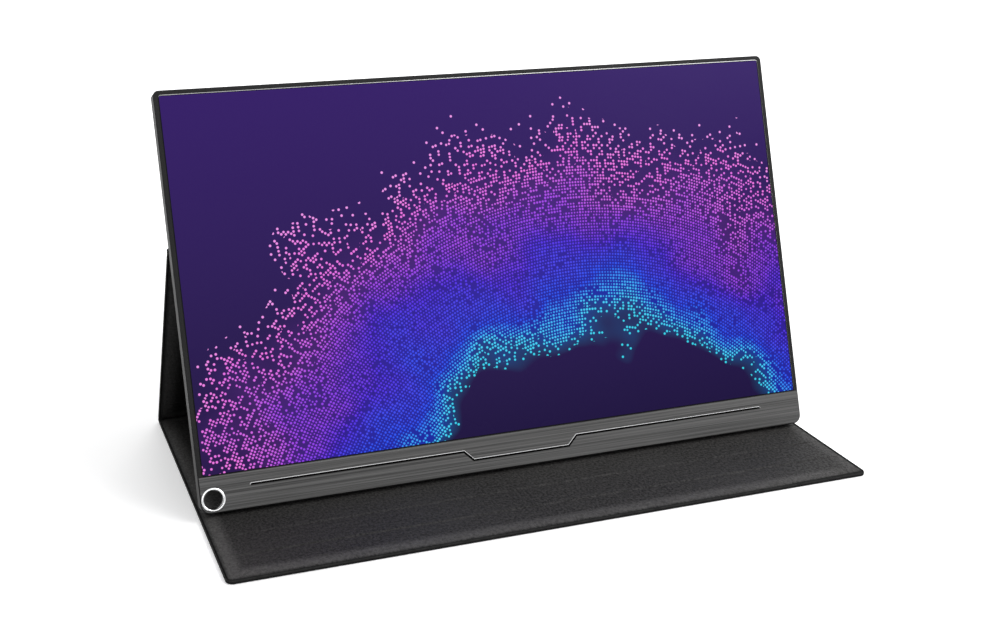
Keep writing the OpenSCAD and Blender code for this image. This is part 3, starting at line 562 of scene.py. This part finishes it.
class Net:
    """Short names for building a procedural material."""

    def __init__(self, name):
        self.mat = bpy.data.materials.new(name)
        self.mat.use_nodes = True
        self.tree = self.mat.node_tree
        self.tree.nodes.clear()
        self.out = self.new("OutputMaterial")
        self.bsdf = self.new("BsdfPrincipled")
        self.link(self.bsdf.outputs[0], self.out.inputs["Surface"])

    def new(self, kind):
        return self.tree.nodes.new("ShaderNode" + kind)

    def link(self, a, b):
        self.tree.links.new(a, b)

    def feed(self, socket, value):
        if isinstance(value, bpy.types.NodeSocket):
            self.link(value, socket)
        else:
            socket.default_value = value

    NAMES = {
        "color": "Base Color", "rough": "Roughness", "metal": "Metallic", "normal": "Normal",
        "specular": "Specular IOR Level", "emission": "Emission Color", "emit": "Emission Strength",
    }

    def set(self, **values):
        for key, value in values.items():
            if isinstance(value, tuple) and len(value) == 3:
                value = (*value, 1.0)
            self.feed(self.bsdf.inputs[self.NAMES[key]], value)

    def attribute(self, name, output):
        node = self.new("Attribute")
        node.attribute_name = name
        return node.outputs[output]

    def flat(self):
        """Place on the flat pattern in millimetres, which stays with the fabric when it bends."""
        return self.attribute("flat", "Vector")

    def edge(self):
        """Distance from the fabric's free edge in millimetres."""
        return self.attribute("edge", "Fac")

    def place(self):
        return self.new("TexCoord").outputs["Object"]

    def scaled(self, vector, x, y, z):
        return self.vec("MULTIPLY", vector, (x, y, z))

    def joined(self, x, y):
        """Vector of two values."""
        node = self.new("CombineXYZ")
        self.link(x, node.inputs[0])
        self.link(y, node.inputs[1])
        return node.outputs[0]

    def vec(self, op, a, b=None):
        node = self.new("VectorMath")
        node.operation = op
        self.feed(node.inputs[0], a)
        if b is not None:
            self.feed(node.inputs[1], b)
        number = op in ("DOT_PRODUCT", "LENGTH")
        return node.outputs["Value" if number else "Vector"]

    def num(self, op, a, b=None):
        node = self.new("Math")
        node.operation = op
        self.feed(node.inputs[0], a)
        if b is not None:
            self.feed(node.inputs[1], b)
        return node.outputs[0]

    def add(self, a, b):
        return self.num("ADD", a, b)

    def minus(self, a, b):
        return self.num("SUBTRACT", a, b)

    def times(self, a, b):
        return self.num("MULTIPLY", a, b)

    def noise(self, vector, scale, detail=3.0, rough=0.5, warp=0.0):
        node = self.new("TexNoise")
        self.feed(node.inputs["Vector"], vector)
        node.inputs["Scale"].default_value = scale
        node.inputs["Detail"].default_value = detail
        node.inputs["Roughness"].default_value = rough
        node.inputs["Distortion"].default_value = warp
        return node.outputs["Fac"]

    def swirl(self, vector, scale):
        """Noise in three channels, about 0, for bending a pattern."""
        node = self.new("TexNoise")
        self.feed(node.inputs["Vector"], vector)
        node.inputs["Scale"].default_value = scale
        return self.vec("SUBTRACT", node.outputs["Color"], (0.5, 0.5, 0.5))

    def cells(self, vector, scale, feature="F1", random=1.0):
        node = self.new("TexVoronoi")
        node.feature = feature
        self.feed(node.inputs["Vector"], vector)
        node.inputs["Scale"].default_value = scale
        node.inputs["Randomness"].default_value = random
        return node.outputs["Distance"]

    def span(self, value, a, b, c, d):
        """value from a..b to c..d, kept within them."""
        node = self.new("MapRange")
        self.feed(node.inputs["Value"], value)
        for key, number in zip(("From Min", "From Max", "To Min", "To Max"), (a, b, c, d)):
            self.feed(node.inputs[key], number)
        return node.outputs["Result"]

    def mix(self, share, a, b):
        node = self.new("Mix")
        node.data_type = "RGBA"
        self.feed(node.inputs[0], share)
        for socket, value in ((node.inputs[6], a), (node.inputs[7], b)):
            self.feed(socket, (*value, 1.0) if isinstance(value, tuple) else value)
        return node.outputs[2]

    def ramp(self, value, stops):
        node = self.new("ValToRGB")
        self.feed(node.inputs[0], value)
        points = node.color_ramp.elements
        while len(points) < len(stops):
            points.new(0.5)
        for point, (at, color) in zip(points, stops):
            point.position = at
            point.color = (*color, 1.0)
        return node.outputs["Color"]

    def bump(self, height, strength, distance, normal=None):
        node = self.new("Bump")
        self.feed(node.inputs["Height"], height)
        node.inputs["Strength"].default_value = strength
        node.inputs["Distance"].default_value = distance
        if normal is not None:
            self.link(normal, node.inputs["Normal"])
        return node.outputs[0]

    def depth(self):
        """Depth behind the monitor's front face in millimetres."""
        c, s = math.cos(LEAN), math.sin(LEAN)
        dot = self.vec("DOT_PRODUCT", self.place(), (0.0, c * 1000, -s * 1000))
        return self.minus(dot, MON_Y * c - MON_Z * s)

    def height(self):
        """Height above the monitor's lower edge along its face in millimetres."""
        c, s = math.cos(LEAN), math.sin(LEAN)
        dot = self.vec("DOT_PRODUCT", self.place(), (0.0, s * 1000, c * 1000))
        return self.minus(dot, MON_Y * s + MON_Z * c)

    def along_x(self):
        return self.vec("DOT_PRODUCT", self.place(), (1000.0, 0.0, 0.0))


made = {}


def once(maker):
    """One material per maker, shared by the pieces that have it."""
    def get():
        if maker.__name__ not in made:
            made[maker.__name__] = maker()
        return made[maker.__name__]
    return get


def give(obj, material):
    if obj.material_slots:
        for slot in obj.material_slots:
            slot.material = material
    else:
        obj.data.materials.append(material)


def band(n, value, rise, fall):
    """1 between two slopes: up over rise[0]..rise[1] and down over fall[0]..fall[1]."""
    return n.times(n.span(value, *rise, 0.0, 1.0), n.span(value, *fall, 1.0, 0.0))


def component(n, vector, axis):
    node = n.new("SeparateXYZ")
    n.link(vector, node.inputs[0])
    return node.outputs[axis]


@once
def leather_outer():
    """Black grained leatherette, cracked fine at its creases; painted shade at its hem line and rolled edge,
    and a painted highlight.
    """
    n = Net("leather_outer")
    p = n.flat()
    bent = n.vec("ADD", p, n.scaled(n.swirl(p, 0.5), 0.7, 0.7, 0.0))
    pebble = n.cells(bent, 0.62, "DISTANCE_TO_EDGE")
    small = n.cells(n.vec("ADD", bent, (3.1, 1.7, 0.0)), 1.5, "DISTANCE_TO_EDGE")
    wide = n.noise(p, 0.02, 4.0)
    patch = n.noise(p, 0.24, 3.0, 0.6)
    fine = n.noise(p, 6.0, 2.0)
    grain = n.add(n.span(pebble, 0.0, 0.2, 0.0, 1.0), n.span(small, 0.0, 0.18, 0.0, 0.5))
    hem = band(n, n.edge(), (HEM_LINE - 0.55, HEM_LINE - 0.15), (HEM_LINE + 0.15, HEM_LINE + 0.55))

    v = component(n, p, 1)
    cracks = n.span(n.noise(n.scaled(p, 0.09, 2.4, 1.0), 1.0, 3.0, 0.6, 0.3), 0.42, 0.6, 0.0, 1.0)
    knee = band(n, v, (V_KNEE - 4.0, V_KNEE - 0.5), (V_REAR + 0.5, V_REAR + 4.0))
    upper = band(n, v, (V_ARC - 4.0, V_ARC), (V_UPPER, V_UPPER + 4.0))
    creased = n.times(cracks, n.num("MAXIMUM", knee, upper))
    # Painted highlight: a pale line in patches on the upper side of the rolled edge's outer rim.
    highlight_patches = n.span(n.noise(p, 0.22, 4.0), 0.34, 0.6, 0.35, 1.0)
    edge_highlight = n.times(n.span(n.edge(), 0.6, 0.4, 0.0, 1.0), highlight_patches)
    edge_highlight = n.times(edge_highlight, n.span(component(n, p, 2), -0.5, 0.1, 0.0, 1.0))

    tone = n.mix(n.span(grain, 0.0, 1.5, 0.0, 1.0), (0.003, 0.003, 0.003), (0.027, 0.0268, 0.027))
    tone = n.mix(n.span(patch, 0.36, 0.64, 0.0, 0.45), tone, (0.008, 0.008, 0.008))
    tone = n.mix(n.span(wide, 0.38, 0.62, 0.0, 0.4), tone, (0.034, 0.0335, 0.0335))
    # Painted shade in the pressed hem line: the tone is darkened along it.
    tone = n.mix(n.times(hem, 0.75), tone, (0.003, 0.003, 0.003))
    # Painted shade on the rolled edge: the bead is made near black and matt.
    rolled_edge_shade = n.span(n.edge(), 1.3, 1.5, 1.0, 0.0)
    tone = n.mix(n.times(rolled_edge_shade, 0.9), tone, (0.002, 0.002, 0.002))
    tone = n.mix(n.times(edge_highlight, 0.3), tone, (0.06, 0.059, 0.058))
    n.set(color=n.mix(n.times(creased, 0.45), tone, (0.05, 0.05, 0.051)))
    rough = n.add(n.span(grain, 0.0, 1.5, 0.72, 0.42), n.span(patch, 0.3, 0.7, -0.06, 0.08))
    n.set(rough=n.num("MAXIMUM", rough, n.span(rolled_edge_shade, 0.0, 1.0, 0.0, 0.85)))
    relief = n.minus(grain, n.times(creased, 0.9))
    n.set(normal=n.bump(relief, 0.75, 0.0002, n.bump(fine, 0.2, 0.00004)), specular=0.14)
    return n.mat


def lining(name, dark, light, hem, gloss):
    """Charcoal lining: a mottled nap over a fine crossed weave, with a painted hem highlight and painted
    shade.
    """
    n = Net(name)
    p = n.flat()
    one = n.num("SINE", n.vec("DOT_PRODUCT", p, (4.3, 4.3, 0.0)))
    two = n.num("SINE", n.vec("DOT_PRODUCT", p, (4.3, -4.3, 0.0)))
    weave = n.times(one, two)
    nap = n.noise(n.scaled(p, 1.0, 0.72, 1.0), 0.74, 2.0, 0.6)
    speck = n.noise(p, 1.5, 2.0, 0.6)
    wide = n.noise(p, 0.015, 3.0)
    value = n.add(n.span(nap, 0.36, 0.64, 0.0, 0.62), n.span(speck, 0.34, 0.66, 0.0, 0.38))
    tone = n.mix(value, dark, light)
    tone = n.mix(n.span(wide, 0.4, 0.7, 0.0, 0.25), tone, light)
    x, v = component(n, p, 0), component(n, p, 1)
    # Painted shade: the tone darkens towards the left side (negative x).
    tone = n.mix(n.span(x, -HALF_W, 10.0, 0.3, 0.0), tone, dark)
    # Painted highlight: a pale band along the hem, in patches, faded towards the right side.
    highlight_patches = n.span(n.noise(p, 0.35, 3.0), 0.3, 0.7, 0.6, 1.0)
    edge_highlight = n.times(band(n, n.edge(), (0.9, 2.0), (5.5, 9.5)), n.span(x, 150.0, 176.0, 1.0, 0.3))
    edge_highlight = n.times(edge_highlight, highlight_patches)
    # Painted shade: a near-black line at the lining's edge, wider towards the right side.
    wider = n.span(x, 120.0, 172.0, 0.0, 1.0)
    seam_shade = n.span(n.minus(n.edge(), wider), 0.35, 0.8, 0.95, 0.0)
    pale = n.mix(value, hem, tuple(1.8 * c for c in hem))
    tone = n.mix(n.times(edge_highlight, 0.8), tone, pale)
    # Painted shade: the lining turns near black behind the monitor's groove, inside the stand.
    behind_monitor_shade = n.span(v, GROOVE_HIGH, GROOVE_HIGH + 30.0, 0.0, 0.4)
    tone = n.mix(behind_monitor_shade, tone, (0.001, 0.001, 0.001))
    n.set(color=n.mix(seam_shade, tone, (0.002, 0.002, 0.002)))
    n.set(rough=n.minus(n.span(value, 0.0, 1.0, 0.68, 0.5), n.times(edge_highlight, 0.06)))
    height = n.add(n.times(weave, 0.16), n.add(n.times(speck, 0.6), nap))
    n.set(normal=n.bump(height, 0.75, 0.0003), specular=gloss)
    return n.mat


@once
def lining_fabric():
    dark, light = (0.003, 0.0029, 0.0028), (0.055, 0.0534, 0.0519)
    # hem is the colour of the painted hem highlight.
    hem = (0.054, 0.0526, 0.0514)
    return lining("lining_fabric", dark, light, hem, 0.12)


# Painted shade: a darker copy of the lining for the rear and upper panels, in the shade of the stand.
@once
def lining_in_shade():
    dark, light = (0.0015, 0.0015, 0.0015), (0.015, 0.0147, 0.0145)
    hem = (0.03, 0.0293, 0.0289)
    return lining("lining_in_shade", dark, light, hem, 0.05)


@once
def stiffener():
    """Grey-brown fibre board."""
    n = Net("stiffener")
    p = n.place()
    fibre = n.noise(n.scaled(p, 1.0, 3.0, 1.0), 900.0, 4.0, 0.7)
    wide = n.noise(p, 40.0)
    n.set(color=n.mix(fibre, (0.13, 0.11, 0.085), (0.22, 0.19, 0.15)))
    n.set(rough=n.span(wide, 0.3, 0.7, 0.8, 0.95), normal=n.bump(fibre, 0.4, 0.0002))
    return n.mat


def metal(name, dark, light, rough_low, rough_high, scale=(1.0, 1.0, 1.0), grain=600.0, strength=0.15):
    """Metal with streaks or grain at the given scale."""
    n = Net(name)
    p = n.scaled(n.place(), *scale)
    grains = n.noise(p, grain, 4.0, 0.6)
    wide = n.noise(n.place(), 12.0, 3.0)
    n.set(color=n.mix(grains, dark, light), metal=1.0)
    uneven = n.span(wide, 0.3, 0.7, -0.03, 0.03)
    n.set(rough=n.add(n.span(grains, 0.3, 0.7, rough_low, rough_high), uneven))
    n.set(normal=n.bump(grains, strength, 0.00005))
    return n.mat


@once
def magnet_plate():
    return metal("magnet_plate", (0.45, 0.45, 0.47), (0.62, 0.62, 0.64), 0.25, 0.4)


@once
def shell_metal():
    """Bead-blasted grey housing, a little lighter in patches."""
    n = Net("shell_metal")
    p = n.place()
    blast = n.noise(p, 2600.0, 2.0, 0.7)
    wide = n.noise(p, 9.0, 4.0)
    smudge = n.noise(p, 38.0, 3.0, 0.6, 0.4)
    tone = n.mix(n.span(blast, 0.3, 0.7, 0.0, 1.0), (0.018, 0.018, 0.0181), (0.03, 0.03, 0.0303))
    n.set(color=n.mix(n.span(wide, 0.35, 0.65, 0.0, 0.3), tone, (0.06, 0.06, 0.0605)))
    n.set(metal=0.25, specular=0.15)
    n.set(rough=n.add(n.span(smudge, 0.3, 0.7, 0.5, 0.6), n.span(blast, 0.3, 0.7, -0.04, 0.04)))
    n.set(normal=n.bump(blast, 0.25, 0.00003))
    return n.mat


@once
def frame_plastic():
    """Dark satin rim with a fine moulded texture."""
    n = Net("frame_plastic")
    p = n.place()
    fine = n.noise(p, 3000.0, 2.0, 0.6)
    wide = n.noise(p, 20.0, 3.0)
    n.set(color=n.mix(n.span(fine, 0.3, 0.7, 0.0, 1.0), (0.005, 0.005, 0.0051), (0.012, 0.012, 0.0123)))
    n.set(rough=n.span(wide, 0.3, 0.7, 0.44, 0.54), normal=n.bump(fine, 0.15, 0.00003), specular=0.12)
    return n.mat


def groove_shade_band(n, x, z):
    """1 on a black band along the chin's groove line: painted shade of the groove."""
    high_x = DIP_HALF + LINE_RISE
    far = n.num("ABSOLUTE", x)
    up = n.span(far, DIP_HALF, high_x, DIP_Z, LINE_Z)
    off = n.num("ABSOLUTE", n.add(n.minus(z, up), 0.12))
    slope = n.times(n.num("GREATER_THAN", far, DIP_HALF), n.num("LESS_THAN", far, high_x))
    off = n.times(off, n.span(slope, 0.0, 1.0, 1.0, math.cos(math.pi / 4)))
    line = n.span(off, 0.5, 0.58, 1.0, 0.0)
    return n.times(line, n.span(far, LINE_HALF + 0.1, LINE_HALF + 0.2, 1.0, 0.0))


@once
def chin_metal():
    """Brushed gunmetal with long streaks along X, and painted shade: black in the groove line and on a band
    along it.
    """
    n = Net("chin_metal")
    x, z = n.along_x(), n.height()
    p = n.joined(x, z)
    hair = n.noise(n.scaled(p, 0.012, 7.0, 1.0), 1.0, 5.0, 0.7)
    streak = n.noise(n.scaled(p, 0.0035, 0.85, 1.0), 1.0, 4.0, 0.7)
    broad = n.noise(n.scaled(p, 0.002, 0.3, 1.0), 1.0, 2.0)
    value = n.add(n.span(streak, 0.4, 0.6, 0.0, 0.6), n.span(hair, 0.34, 0.66, 0.0, 0.4))
    tone = n.mix(value, (0.013, 0.013, 0.013), (0.12, 0.119, 0.118))
    tone = n.mix(n.span(broad, 0.35, 0.65, 0.0, 0.25), tone, (0.072, 0.072, 0.072))
    # Painted shade: black, matt and not metallic in the groove behind the chin's face, and on the band along
    # it.
    inside = n.num("MAXIMUM", n.span(n.depth(), 0.05, 0.12, 0.0, 1.0), groove_shade_band(n, x, z))
    n.set(color=n.mix(inside, tone, (0.001, 0.001, 0.001)), metal=n.span(inside, 0.0, 1.0, 0.3, 0.0))
    n.set(rough=n.add(n.span(hair, 0.3, 0.7, 0.42, 0.56), n.times(inside, 0.4)))
    n.set(normal=n.bump(n.add(hair, streak), 0.12, 0.00004), specular=0.25)
    return n.mat


@once
def groove_shade_strip():
    """Painted shade: a matt black strip in the groove line, a little lighter in places."""
    n = Net("groove_shade_strip")
    fine = n.noise(n.place(), 2200.0, 3.0, 0.6)
    n.set(color=n.mix(fine, (0.001, 0.001, 0.001), (0.003, 0.003, 0.003)))
    n.set(rough=n.span(fine, 0.3, 0.7, 0.85, 1.0), normal=n.bump(fine, 0.2, 0.00002), specular=0.05)
    return n.mat


@once
def polished_edge():
    dark, light = (0.26, 0.262, 0.264), (0.44, 0.442, 0.445)
    return metal("polished_edge", dark, light, 0.16, 0.28, (0.02, 1.0, 1.0), 900.0, 0.08)


@once
def chrome():
    """Polished sleeve with faint turning marks."""
    n = Net("chrome")
    marks = n.noise(n.scaled(n.place(), 1.0, 6.0, 1.0), 700.0, 3.0, 0.6)
    wide = n.noise(n.place(), 300.0, 2.0)
    n.set(color=n.mix(marks, (0.6, 0.605, 0.61), (0.76, 0.765, 0.77)), metal=1.0)
    n.set(rough=n.span(wide, 0.3, 0.7, 0.06, 0.14), normal=n.bump(marks, 0.05, 0.00002))
    return n.mat


def ripple(n, x, z):
    """Generic picture: dotted rings round a point below the screen, from cyan over blue to pink."""
    centre_x, centre_z = 46.0, -66.0
    flat = n.joined(x, z)
    warp = n.span(n.noise(flat, 0.016, 2.0), 0.25, 0.75, -22.0, 22.0)
    dx, dz = n.minus(x, centre_x), n.minus(z, centre_z)
    far = n.num("SQRT", n.add(n.times(dx, dx), n.times(dz, dz)))
    turn = n.num("ARCTAN2", dz, dx)
    bent = n.add(far, warp)

    pitch = 1.7
    ring = n.num("FLOOR", n.num("DIVIDE", far, pitch))
    radius = n.times(n.add(ring, 0.5), pitch)
    count = n.num("ROUND", n.times(radius, 2 * math.pi / pitch))
    round_it = n.times(turn, n.num("DIVIDE", count, 2 * math.pi))
    cell = n.add(round_it, n.times(ring, 0.5))
    across = n.times(n.minus(n.num("FRACT", cell), 0.5), pitch)
    outward = n.minus(far, radius)
    off = n.num("SQRT", n.add(n.times(across, across), n.times(outward, outward)))

    white = n.new("TexWhiteNoise")
    white.noise_dimensions = "2D"
    n.link(n.joined(n.num("FLOOR", cell), ring), white.inputs["Vector"])
    chance = white.outputs["Value"]
    swell = n.noise(flat, 0.045, 3.0, 0.6)
    near, full, thinning, gone = 128.0, 146.0, 190.0, 262.0
    rise = n.span(bent, near, full, 0.0, 1.0)
    fall = n.span(bent, thinning, gone, 1.0, 0.0)
    cover = n.times(n.times(rise, fall), n.span(swell, 0.3, 0.62, 0.5, 1.25))
    shown = n.num("LESS_THAN", chance, cover)
    size = n.span(chance, 0.0, 1.0, 0.8, 0.48)
    dot = n.times(n.span(n.minus(size, off), 0.0, 0.26, 0.0, 1.0), shown)

    hue = n.span(bent, near, gone, 0.0, 1.0)
    dots = n.ramp(hue, (
        (0.0, (0.03, 0.66, 0.82)), (0.1, (0.06, 0.62, 0.95)), (0.2, (0.02, 0.09, 0.88)),
        (0.38, (0.09, 0.03, 0.80)), (0.56, (0.36, 0.06, 0.80)), (0.78, (0.88, 0.18, 0.78)),
        (1.0, (0.90, 0.34, 0.86)),
    ))
    glow = n.ramp(hue, (
        (0.0, (0.0, 0.16, 0.32)), (0.14, (0.004, 0.02, 0.40)), (0.4, (0.03, 0.008, 0.34)),
        (0.65, (0.12, 0.02, 0.26)), (1.0, (0.027, 0.005, 0.125)),
    ))
    back = n.mix(n.span(z, 20.0, 214.0, 0.0, 1.0), (0.008, 0.001, 0.045), (0.028, 0.0045, 0.128))
    haze = n.times(n.times(rise, n.span(bent, 170.0, 245.0, 1.0, 0.0)), 0.85)
    return n.mix(dot, n.mix(haze, back, glow), dots)


@once
def screen_picture():
    """Lit screen under a matt cover glass, with its unlit border."""
    n = Net("screen_picture")
    x, z = n.along_x(), n.height()
    picture = ripple(n, x, z)
    unlit = RIM_W + 0.35
    edge_x = n.minus(MON_W / 2 - unlit, n.num("ABSOLUTE", x))
    edge_z = n.num("MINIMUM", n.minus(z, CHIN_H + 0.45), n.minus(MON_H - unlit, z))
    lit = n.span(n.num("MINIMUM", edge_x, edge_z), -0.05, 0.05, 0.0, 1.0)
    front = n.span(n.depth(), 0.31, 0.35, 1.0, 0.0)
    share = n.times(lit, front)
    n.set(emission=n.mix(share, (0.0, 0.0, 0.0), picture), emit=1.0)
    matt = n.noise(n.place(), 4000.0, 2.0)
    smear = n.noise(n.place(), 14.0, 3.0, 0.5, 0.5)
    n.set(color=n.mix(matt, (0.001, 0.001, 0.0015), (0.003, 0.003, 0.004)))
    n.set(rough=n.span(smear, 0.3, 0.7, 0.24, 0.32), normal=n.bump(matt, 0.04, 0.00002), specular=0.05)
    return n.mat


def plastic(name, dark, light, rough_low, rough_high, grain=1800.0):
    """Moulded plastic or board with a fine texture."""
    n = Net(name)
    fine = n.noise(n.place(), grain, 3.0, 0.6)
    wide = n.noise(n.place(), 60.0, 3.0)
    n.set(color=n.mix(n.span(fine, 0.3, 0.7, 0.0, 1.0), dark, light))
    n.set(rough=n.span(wide, 0.3, 0.7, rough_low, rough_high), normal=n.bump(fine, 0.2, 0.00004))
    return n.mat


@once
def cell_glass():
    return plastic("cell_glass", (0.006, 0.006, 0.008), (0.012, 0.012, 0.016), 0.1, 0.18)


@once
def light_film():
    return plastic("light_film", (0.78, 0.8, 0.82), (0.86, 0.88, 0.9), 0.3, 0.42)


@once
def guide_plate():
    return plastic("guide_plate", (0.62, 0.72, 0.74), (0.7, 0.8, 0.82), 0.08, 0.16)


@once
def led_strip():
    return plastic("led_strip", (0.7, 0.66, 0.4), (0.86, 0.82, 0.6), 0.3, 0.5)


@once
def inner_plastic():
    return plastic("inner_plastic", (0.02, 0.02, 0.021), (0.035, 0.035, 0.036), 0.5, 0.65)


@once
def tray_metal():
    return metal("tray_metal", (0.4, 0.41, 0.42), (0.52, 0.53, 0.54), 0.32, 0.45)


@once
def steel_metal():
    return metal("steel_metal", (0.36, 0.37, 0.38), (0.5, 0.51, 0.52), 0.28, 0.42, (0.2, 1.0, 1.0))


@once
def circuit_board():
    """Green board with copper tracks under the mask."""
    n = Net("circuit_board")
    p = n.place()
    tracks = n.cells(p, 420.0, "F1", 0.0)
    fine = n.noise(p, 1500.0, 3.0)
    n.set(color=n.mix(n.span(tracks, 0.3, 0.36, 0.0, 1.0), (0.02, 0.16, 0.07), (0.012, 0.085, 0.04)))
    n.set(rough=n.span(fine, 0.3, 0.7, 0.3, 0.42), normal=n.bump(tracks, 0.2, 0.00004))
    return n.mat


@once
def port_metal():
    """Drawn steel shell, and the dark tongue in its middle."""
    n = Net("port_metal")
    draw = n.noise(n.scaled(n.place(), 0.2, 1.0, 1.0), 1600.0, 3.0)
    tongue_depth = 5.82
    away = n.num("ABSOLUTE", n.minus(n.depth(), tongue_depth))
    tongue = n.span(away, 0.5, 0.6, 1.0, 0.0)
    steel = n.mix(draw, (0.5, 0.51, 0.52), (0.66, 0.67, 0.68))
    n.set(color=n.mix(tongue, steel, (0.012, 0.012, 0.013)))
    n.set(metal=n.minus(1.0, tongue), rough=n.span(draw, 0.3, 0.7, 0.24, 0.36))
    n.set(normal=n.bump(draw, 0.1, 0.00003))
    return n.mat


@once
def black_plastic():
    return plastic("black_plastic", (0.014, 0.014, 0.015), (0.026, 0.026, 0.028), 0.4, 0.55)


@once
def control_plastic():
    return plastic("control_plastic", (0.006, 0.006, 0.0065), (0.014, 0.014, 0.015), 0.3, 0.4)


@once
def flex_film():
    return plastic("flex_film", (0.42, 0.2, 0.05), (0.55, 0.28, 0.08), 0.3, 0.42)


@once
def cable_white():
    return plastic("cable_white", (0.62, 0.62, 0.58), (0.74, 0.74, 0.7), 0.4, 0.5)


@once
def screw_metal():
    return metal("screw_metal", (0.08, 0.08, 0.085), (0.14, 0.14, 0.145), 0.3, 0.42)


def dress_cad():
    """Materials of the CAD nodes that stay."""
    looks = {
        stiffener: ("front_cover_board", "spine_board", "lower_back_board", "upper_back_board"),
        magnet_plate: ("front_cover_magnets", "upper_panel_magnets"),
        shell_metal: ("rear_shell",),
        frame_plastic: ("front_frame",),
        chin_metal: ("chin_plate",),
        screen_picture: ("cover_glass",),
        cell_glass: ("lcd_cell",),
        light_film: ("film_stack", "reflector_sheet"),
        guide_plate: ("light_guide",),
        led_strip: ("led_bar",),
        inner_plastic: ("panel_frame", "speaker_left", "speaker_right"),
        tray_metal: ("panel_tray",),
        steel_metal: ("steel_strips", "dial_carriage", "board_screws"),
        circuit_board: ("mainboard", "key_board", "driver_board"),
        port_metal: ("board_shield", "usb_c_port_upper", "usb_c_port_lower", "mini_hdmi_port"),
        black_plastic: ("audio_jack", "power_switch"),
        control_plastic: ("power_button", "menu_dial"),
        flex_film: ("panel_flexes",),
        cable_white: ("display_cable",),
        screw_metal: ("case_screws",),
    }
    for look, names in looks.items():
        for name in names:
            give(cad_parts[name], look())


# Stage, light and camera.

def floor_material():
    """White floor that also glows where the camera or a reflection sees it, fully so far from the object."""
    n = Net("floor_white")
    wide = n.noise(n.place(), 3.0, 2.0)
    path = n.new("LightPath")
    seen = path.outputs["Is Camera Ray"]
    for ray in ("Is Glossy Ray", "Is Transmission Ray"):
        seen = n.num("MAXIMUM", seen, path.outputs[ray])
    glow = n.span(n.vec("LENGTH", n.place()), 0.28, 1.1, 0.3, 1.0)
    n.set(color=n.mix(wide, (0.93, 0.93, 0.935), (0.95, 0.95, 0.955)), rough=0.8, specular=0.1)
    n.set(emission=(1.0, 1.0, 1.0), emit=n.times(seen, glow))
    return n.mat


def build_stage():
    bm = bmesh.new()
    bmesh.ops.create_grid(bm, x_segments=1, y_segments=1, size=20)
    floor = finish_mesh("floor", bm, soft=False)
    floor.location = (0, 0, -0.0002)
    give(floor, floor_material())


def build_world():
    """White studio, which lights the object less than the camera and the reflections see of it."""
    world = bpy.data.worlds.new("studio")
    bpy.context.scene.world = world
    world.use_nodes = True
    tree = world.node_tree
    tree.nodes.clear()
    out = tree.nodes.new("ShaderNodeOutputWorld")
    mix = tree.nodes.new("ShaderNodeMixShader")
    path = tree.nodes.new("ShaderNodeLightPath")
    for socket, strength in ((mix.inputs[1], 0.52), (mix.inputs[2], 1.0)):
        white = tree.nodes.new("ShaderNodeBackground")
        white.inputs[0].default_value = (1.0, 1.0, 1.0, 1.0)
        white.inputs[1].default_value = strength
        tree.links.new(white.outputs[0], socket)
    seen = path.outputs["Is Camera Ray"]
    for ray in ("Is Transmission Ray", "Is Glossy Ray"):
        either = tree.nodes.new("ShaderNodeMath")
        either.operation = "MAXIMUM"
        tree.links.new(seen, either.inputs[0])
        tree.links.new(path.outputs[ray], either.inputs[1])
        seen = either.outputs[0]
    tree.links.new(seen, mix.inputs[0])
    tree.links.new(mix.outputs[0], out.inputs["Surface"])


def area_light(name, place_at, target, size, power):
    data = bpy.data.lights.new(name, "AREA")
    data.shape = "RECTANGLE"
    data.size, data.size_y = size
    data.energy = power
    obj = bpy.data.objects.new(name, data)
    obj.location = place_at
    obj.rotation_mode = "QUATERNION"
    obj.rotation_quaternion = (Vector(target) - Vector(place_at)).to_track_quat("-Z", "Y")
    bpy.context.scene.collection.objects.link(obj)


def build_lights():
    area_light("key_right", (0.75, -0.62, 0.95), (0.0, -0.06, 0.05), (0.8, 0.8), 11.5)
    area_light("fill_front", (0.1, -1.4, 0.75), (0.0, 0.0, 0.1), (1.4, 0.7), 6.0)
    area_light("top_back", (0.1, 0.8, 1.1), (0.0, 0.0, 0.1), (1.2, 0.6), 6.0)


def build_camera():
    """Camera of the photograph, solved from the corners of monitor and cover."""
    at = Vector((-0.2770, -0.72724, 0.3406))
    az, pitch, roll = 0.365, 0.325, 0.0033
    fwd = Vector((math.sin(az) * math.cos(pitch), math.cos(az) * math.cos(pitch), -math.sin(pitch)))
    right = Vector((math.cos(az), -math.sin(az), 0))
    up = right.cross(fwd)
    r = math.cos(roll) * right + math.sin(roll) * up
    u = -math.sin(roll) * right + math.cos(roll) * up
    data = bpy.data.cameras.new("camera")
    data.sensor_width = 36
    data.lens = 53.14
    data.clip_start, data.clip_end = 0.01, 100
    cam = bpy.data.objects.new("camera", data)
    cam.matrix_world = Matrix((
        (r.x, u.x, -fwd.x, at.x),
        (r.y, u.y, -fwd.y, at.y),
        (r.z, u.z, -fwd.z, at.z),
        (0, 0, 0, 1),
    ))
    bpy.context.scene.collection.objects.link(cam)
    bpy.context.scene.camera = cam


build_cover()
groove_lip()
screen_bevel()
pen_sleeve()
dress_cad()
build_stage()
build_world()
build_lights()
build_camera()
bpy.context.scene.view_settings.view_transform = "Standard"
